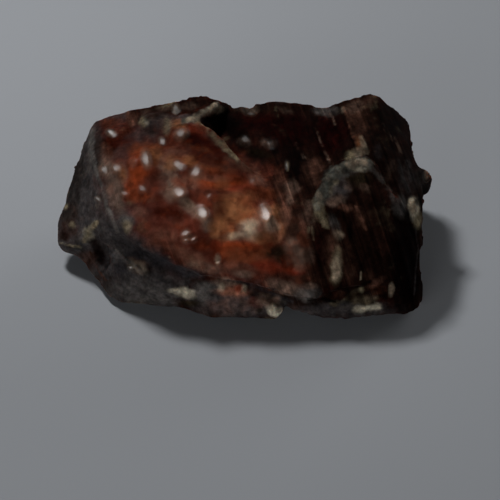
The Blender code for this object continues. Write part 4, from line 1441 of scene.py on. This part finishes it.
@dataclass(frozen=True)
class Nodes:
    """A material's node tree, with short ways to add to it.

    mix_inputs are the places of a colour Mix node's share and its two colours, and mix_output is
    that of its result.
    """

    tree: bpy.types.NodeTree
    mix_inputs: tuple[int, int, int] = (0, 6, 7)
    mix_output: int = 2

    def feed(self, socket: bpy.types.NodeSocket, value: object) -> None:
        """Gives an input its value.

        Args:
            socket: the input.
            value: another node's output, which is linked, or a number or a colour, which is set.
        """
        if isinstance(value, bpy.types.NodeSocket):
            self.tree.links.new(value, socket)
        elif isinstance(value, tuple):
            socket.default_value = (*value, 1.0)
        else:
            socket.default_value = value

    def attribute(self, kind: Zone | Layer, output: str = "Fac") -> bpy.types.NodeSocket:
        """Adds a node that reads one of the skin's attributes.

        Args:
            kind: the attribute.
            output: which of the node's outputs is wanted.

        Returns:
            That output.
        """
        node = self.tree.nodes.new("ShaderNodeAttribute")
        node.attribute_name = kind.value
        return node.outputs[output]

    def noise(self, coords: bpy.types.NodeSocket, grain: Grain) -> bpy.types.NodeSocket:
        """Adds cloudy noise.

        Args:
            coords: where the noise is read.
            grain: what kind it is.

        Returns:
            A value from 0 to 1.
        """
        node = self.tree.nodes.new("ShaderNodeTexNoise")
        for name, value in (("Vector", coords), ("Scale", grain.scale), ("Detail", grain.detail),
                            ("Roughness", grain.rough), ("Distortion", grain.wander)):
            self.feed(node.inputs[name], value)
        return node.outputs["Fac"]

    def combine(self, kind: str, first: object, second: object) -> bpy.types.NodeSocket:
        """Adds a Math node.

        Args:
            kind: what it does, in Blender's name.
            first: its first output or number.
            second: its second output or number.

        Returns:
            The result.
        """
        node = self.tree.nodes.new("ShaderNodeMath")
        node.operation = kind
        for socket, value in zip(node.inputs, (first, second)):
            self.feed(socket, value)
        return node.outputs["Value"]

    def blend(self, share: object, low: object, high: object,
              kind: str = "MIX") -> bpy.types.NodeSocket:
        """Adds a colour Mix node.

        Args:
            share: how far it goes from low to high.
            low: the output or colour at 0.
            high: the output or colour at 1.
            kind: how they are mixed, in Blender's name.

        Returns:
            The mixed colour.
        """
        node = self.tree.nodes.new("ShaderNodeMix")
        node.data_type = "RGBA"
        node.blend_type = kind
        for place, value in zip(self.mix_inputs, (share, low, high)):
            self.feed(node.inputs[place], value)
        return node.outputs[self.mix_output]

    def reshape(self, value: bpy.types.NodeSocket, step: Step) -> bpy.types.NodeSocket:
        """Adds a Map Range node.

        Args:
            value: what is reshaped.
            step: how.

        Returns:
            The new value.
        """
        node = self.tree.nodes.new("ShaderNodeMapRange")
        node.interpolation_type = "SMOOTHSTEP"
        for name, number in (("Value", value), ("From Min", step.low), ("From Max", step.high),
                             ("To Min", step.least), ("To Max", step.most)):
            self.feed(node.inputs[name], number)
        return node.outputs["Result"]

    def along(self, coords: bpy.types.NodeSocket, axis: Place) -> bpy.types.NodeSocket:
        """Adds a node that measures along an axis.

        Args:
            coords: the places.
            axis: the direction, whose length stretches the measure.

        Returns:
            How far along it each place is.
        """
        node = self.tree.nodes.new("ShaderNodeVectorMath")
        node.operation = "DOT_PRODUCT"
        node.inputs[1].default_value = axis
        self.feed(node.inputs[0], coords)
        return node.outputs["Value"]


@dataclass(frozen=True)
class Sources:
    """What the finish reads: the skin's attributes and its three kinds of noise."""

    tint: bpy.types.NodeSocket
    glow: bpy.types.NodeSocket
    striae: bpy.types.NodeSocket
    crust: bpy.types.NodeSocket
    skin: bpy.types.NodeSocket
    ribs: bpy.types.NodeSocket
    grain: bpy.types.NodeSocket
    cloud: bpy.types.NodeSocket


@dataclass(frozen=True)
class ZirconFinish:
    """The stone's finish: glassy where it is worn, ribbed where it broke, dull on its crust.

    Its lengths are in metres.
    """

    name: str = "zircon_finish"
    subsurface: float = 0.25
    subsurface_reach: float = 0.0010
    subsurface_share: Colour = (1.0, 0.35, 0.2)
    coat_roughness: float = 0.4
    coat_bend: float = 1.7
    shine: float = 0.01
    bump: float = 0.55
    bump_height: float = 0.00012
    rib_across: Place = (1.0, 0.24, 0.24)
    rib_along: Place = (0.0, 0.11, -0.11)
    rib_grain: Grain = Grain(1500.0, 5.0, 0.62, 0.35)
    fine_grain: Grain = Grain(2600.0, 4.0, 0.6)
    cloud_grain: Grain = Grain(900.0, 4.0, 0.55)
    light_streaks: Step = Step(0.55, 0.72, 1.0, 2.3)
    dark_streaks: Step = Step(0.34, 0.54, 0.42, 1.0)
    fine_speckles: Step = Step(0.3, 0.7, 0.72, 1.28)
    broad_speckles: Step = Step(0.3, 0.7, 0.7, 1.3)
    speckles_in_glow: Step = Step(0.0, 1.0, 1.0, 0.4)
    gloss: Step = Step(0.3, 0.7, 0.5, 0.62)
    rib_dullness: float = 0.18
    skin_dullness: float = 0.15
    crust_dullness: float = 0.2
    skin_grain: float = 0.6
    waves: float = 0.35

    def make(self) -> bpy.types.Material:
        """Builds the node material.

        Returns:
            The material, which reads the skin's own attributes and Object coordinates.
        """
        material = bpy.data.materials.new(self.name)
        material.use_nodes = True
        nodes = Nodes(material.node_tree)
        source = self.sources(nodes)
        inputs = nodes.tree.nodes["Principled BSDF"].inputs
        bump = nodes.tree.nodes.new("ShaderNodeBump")
        nodes.feed(bump.inputs["Strength"], self.bump)
        nodes.feed(bump.inputs["Distance"], self.bump_height)
        nodes.feed(bump.inputs["Height"], self.height(nodes, source))
        nodes.feed(inputs["Base Color"], self.colour(nodes, source))
        nodes.feed(inputs["Roughness"], self.roughness(nodes, source))
        nodes.feed(inputs["Normal"], bump.outputs["Normal"])
        nodes.feed(inputs["Coat Weight"], nodes.attribute(Layer.POLISH))
        inputs["Subsurface Weight"].default_value = self.subsurface
        inputs["Subsurface Radius"].default_value = self.subsurface_share
        inputs["Subsurface Scale"].default_value = self.subsurface_reach
        inputs["Coat Roughness"].default_value = self.coat_roughness
        inputs["Coat IOR"].default_value = self.coat_bend
        inputs["Specular IOR Level"].default_value = self.shine
        return material

    def sources(self, nodes: Nodes) -> Sources:
        """Adds the nodes that the rest works from.

        Args:
            nodes: the node tree.

        Returns:
            The skin's attributes and the three kinds of noise.
        """
        coords = nodes.tree.nodes.new("ShaderNodeTexCoord").outputs["Object"]
        return Sources(
            tint=nodes.attribute(Layer.TINT, "Color"),
            glow=nodes.attribute(Zone.GLOW),
            striae=nodes.attribute(Zone.STRIAE),
            crust=nodes.attribute(Zone.CRUST),
            skin=nodes.attribute(Zone.SKIN),
            ribs=self.ribs(nodes, coords),
            grain=nodes.noise(coords, self.fine_grain),
            cloud=nodes.noise(coords, self.cloud_grain),
        )

    def ribs(self, nodes: Nodes, coords: bpy.types.NodeSocket) -> bpy.types.NodeSocket:
        """Adds noise that is drawn out along the ribs of the striped body.

        Args:
            nodes: the node tree.
            coords: the Object coordinates.

        Returns:
            A value from 0 to 1.
        """
        drawn = nodes.tree.nodes.new("ShaderNodeCombineXYZ")
        nodes.feed(drawn.inputs["X"], nodes.along(coords, self.rib_across))
        nodes.feed(drawn.inputs["Y"], nodes.along(coords, self.rib_along))
        return nodes.noise(drawn.outputs["Vector"], self.rib_grain)

    def colour(self, nodes: Nodes, source: Sources) -> bpy.types.NodeSocket:
        """The painted tint, with streaks on the striped body and speckles all over.

        Args:
            nodes: the node tree.
            source: what the finish reads.

        Returns:
            The colour. Its speckles are weaker where the stone glows.
        """
        streaks = nodes.combine("MULTIPLY", nodes.reshape(source.ribs, self.light_streaks),
                             nodes.reshape(source.ribs, self.dark_streaks))
        striped = nodes.blend(1.0, source.tint, streaks, "MULTIPLY")
        colour = nodes.blend(source.striae, source.tint, striped)
        speckles = nodes.combine("MULTIPLY", nodes.reshape(source.grain, self.fine_speckles),
                              nodes.reshape(source.cloud, self.broad_speckles))
        share = nodes.reshape(source.glow, self.speckles_in_glow)
        return nodes.blend(share, colour, speckles, "MULTIPLY")

    def roughness(self, nodes: Nodes, source: Sources) -> bpy.types.NodeSocket:
        """How rough the stone is: glassy on the dome, duller on ribs, skin and crust.

        Args:
            nodes: the node tree.
            source: what the finish reads.

        Returns:
            The roughness.
        """
        total = nodes.reshape(source.cloud, self.gloss)
        for share, amount in ((source.striae, self.rib_dullness), (source.skin, self.skin_dullness),
                              (source.crust, self.crust_dullness)):
            total = nodes.combine("ADD", total, nodes.combine("MULTIPLY", share, amount))
        return total

    def height(self, nodes: Nodes, source: Sources) -> bpy.types.NodeSocket:
        """How much the finest relief rises: ribs, grains of the crust and gentle waves.

        Args:
            nodes: the node tree.
            source: what the finish reads.

        Returns:
            The height for the bump.
        """
        dull = nodes.combine("MULTIPLY", source.skin, self.skin_grain)
        rough = nodes.combine("ADD", source.crust, dull)
        total = nodes.combine("MULTIPLY", source.ribs, source.striae)
        for wave, share in ((source.grain, rough), (source.cloud, self.waves)):
            total = nodes.combine("ADD", total, nodes.combine("MULTIPLY", wave, share))
        return total


@dataclass(frozen=True)
class Studio:
    """A pale floor, one high light behind the stone's left shoulder, and soft fill.

    Its lengths are in metres.
    """

    key: KeyLight = KEY
    floor_size: float = 1.2
    floor_tint: Colour = (0.42, 0.44, 0.47)
    floor_roughness: float = 0.9
    fill_place: Place = (-0.22, -0.42, 0.09)
    fill_size: float = 0.3
    fill_power: float = 0.58
    back_place: Place = (0.35, 0.31, 0.09)
    back_power: float = 0.65
    sky: float = 0.012
    sky_tint: Colour = (0.9, 0.95, 1.0)

    def build(self) -> None:
        """Makes the floor, the lights and the sky."""
        self.add_floor()
        self.add_light("key_light", self.key.place, self.key.size, self.key.power)
        fill = self.add_light("fill_light", self.fill_place, self.fill_size, self.fill_power)
        fill.visible_glossy = False
        self.add_light("back_light", self.back_place, self.fill_size, self.back_power)
        self.add_sky()

    def add_floor(self) -> None:
        """A plain pale floor at the height that the stone rests on."""
        bpy.ops.object.select_all(action="DESELECT")
        bpy.ops.mesh.primitive_plane_add(size=self.floor_size)
        floor = bpy.context.object
        floor.name = "floor"
        material = bpy.data.materials.new("floor_finish")
        material.use_nodes = True
        shader = material.node_tree.nodes["Principled BSDF"]
        shader.inputs["Base Color"].default_value = (*self.floor_tint, 1.0)
        shader.inputs["Roughness"].default_value = self.floor_roughness
        floor.data.materials.append(material)

    @staticmethod
    def add_light(name: str, place: Place, size: float, power: float) -> bpy.types.Object:
        """A square light that looks at the stone.

        Args:
            name: what it is called.
            place: where it is.
            size: how wide it is.
            power: how strong it is, in watts.

        Returns:
            The light.
        """
        bpy.ops.object.light_add(type="AREA", location=place)
        light = bpy.context.object
        light.name = name
        light.data.size = size
        light.data.energy = power
        light.rotation_mode = "QUATERNION"
        light.rotation_quaternion = (-Vector(place)).to_track_quat("-Z", "Y")
        return light

    def add_sky(self) -> None:
        """Weak light from all round."""
        world = bpy.data.worlds.new("sky")
        world.use_nodes = True
        back = world.node_tree.nodes["Background"]
        back.inputs["Color"].default_value = (*self.sky_tint, 1.0)
        back.inputs["Strength"].default_value = self.sky
        bpy.context.scene.world = world


def main() -> None:
    """Builds the stone's skin, its finish and the studio, in that order."""
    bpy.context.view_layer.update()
    skin = CrystalSkin()
    piece = skin.build()
    piece.data.materials.clear()
    piece.data.materials.append(ZirconFinish().make())
    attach(piece, "root")
    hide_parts("zircon")
    log.info("%s: %d vertices, %d faces", piece.name, len(piece.data.vertices),
             len(piece.data.polygons))
    Studio().build()
    skin.view.add_camera()
    bpy.context.scene.view_settings.view_transform = "Standard"
    log.info("camera, floor and lights are in place")


if __name__ == "__main__":
    main()
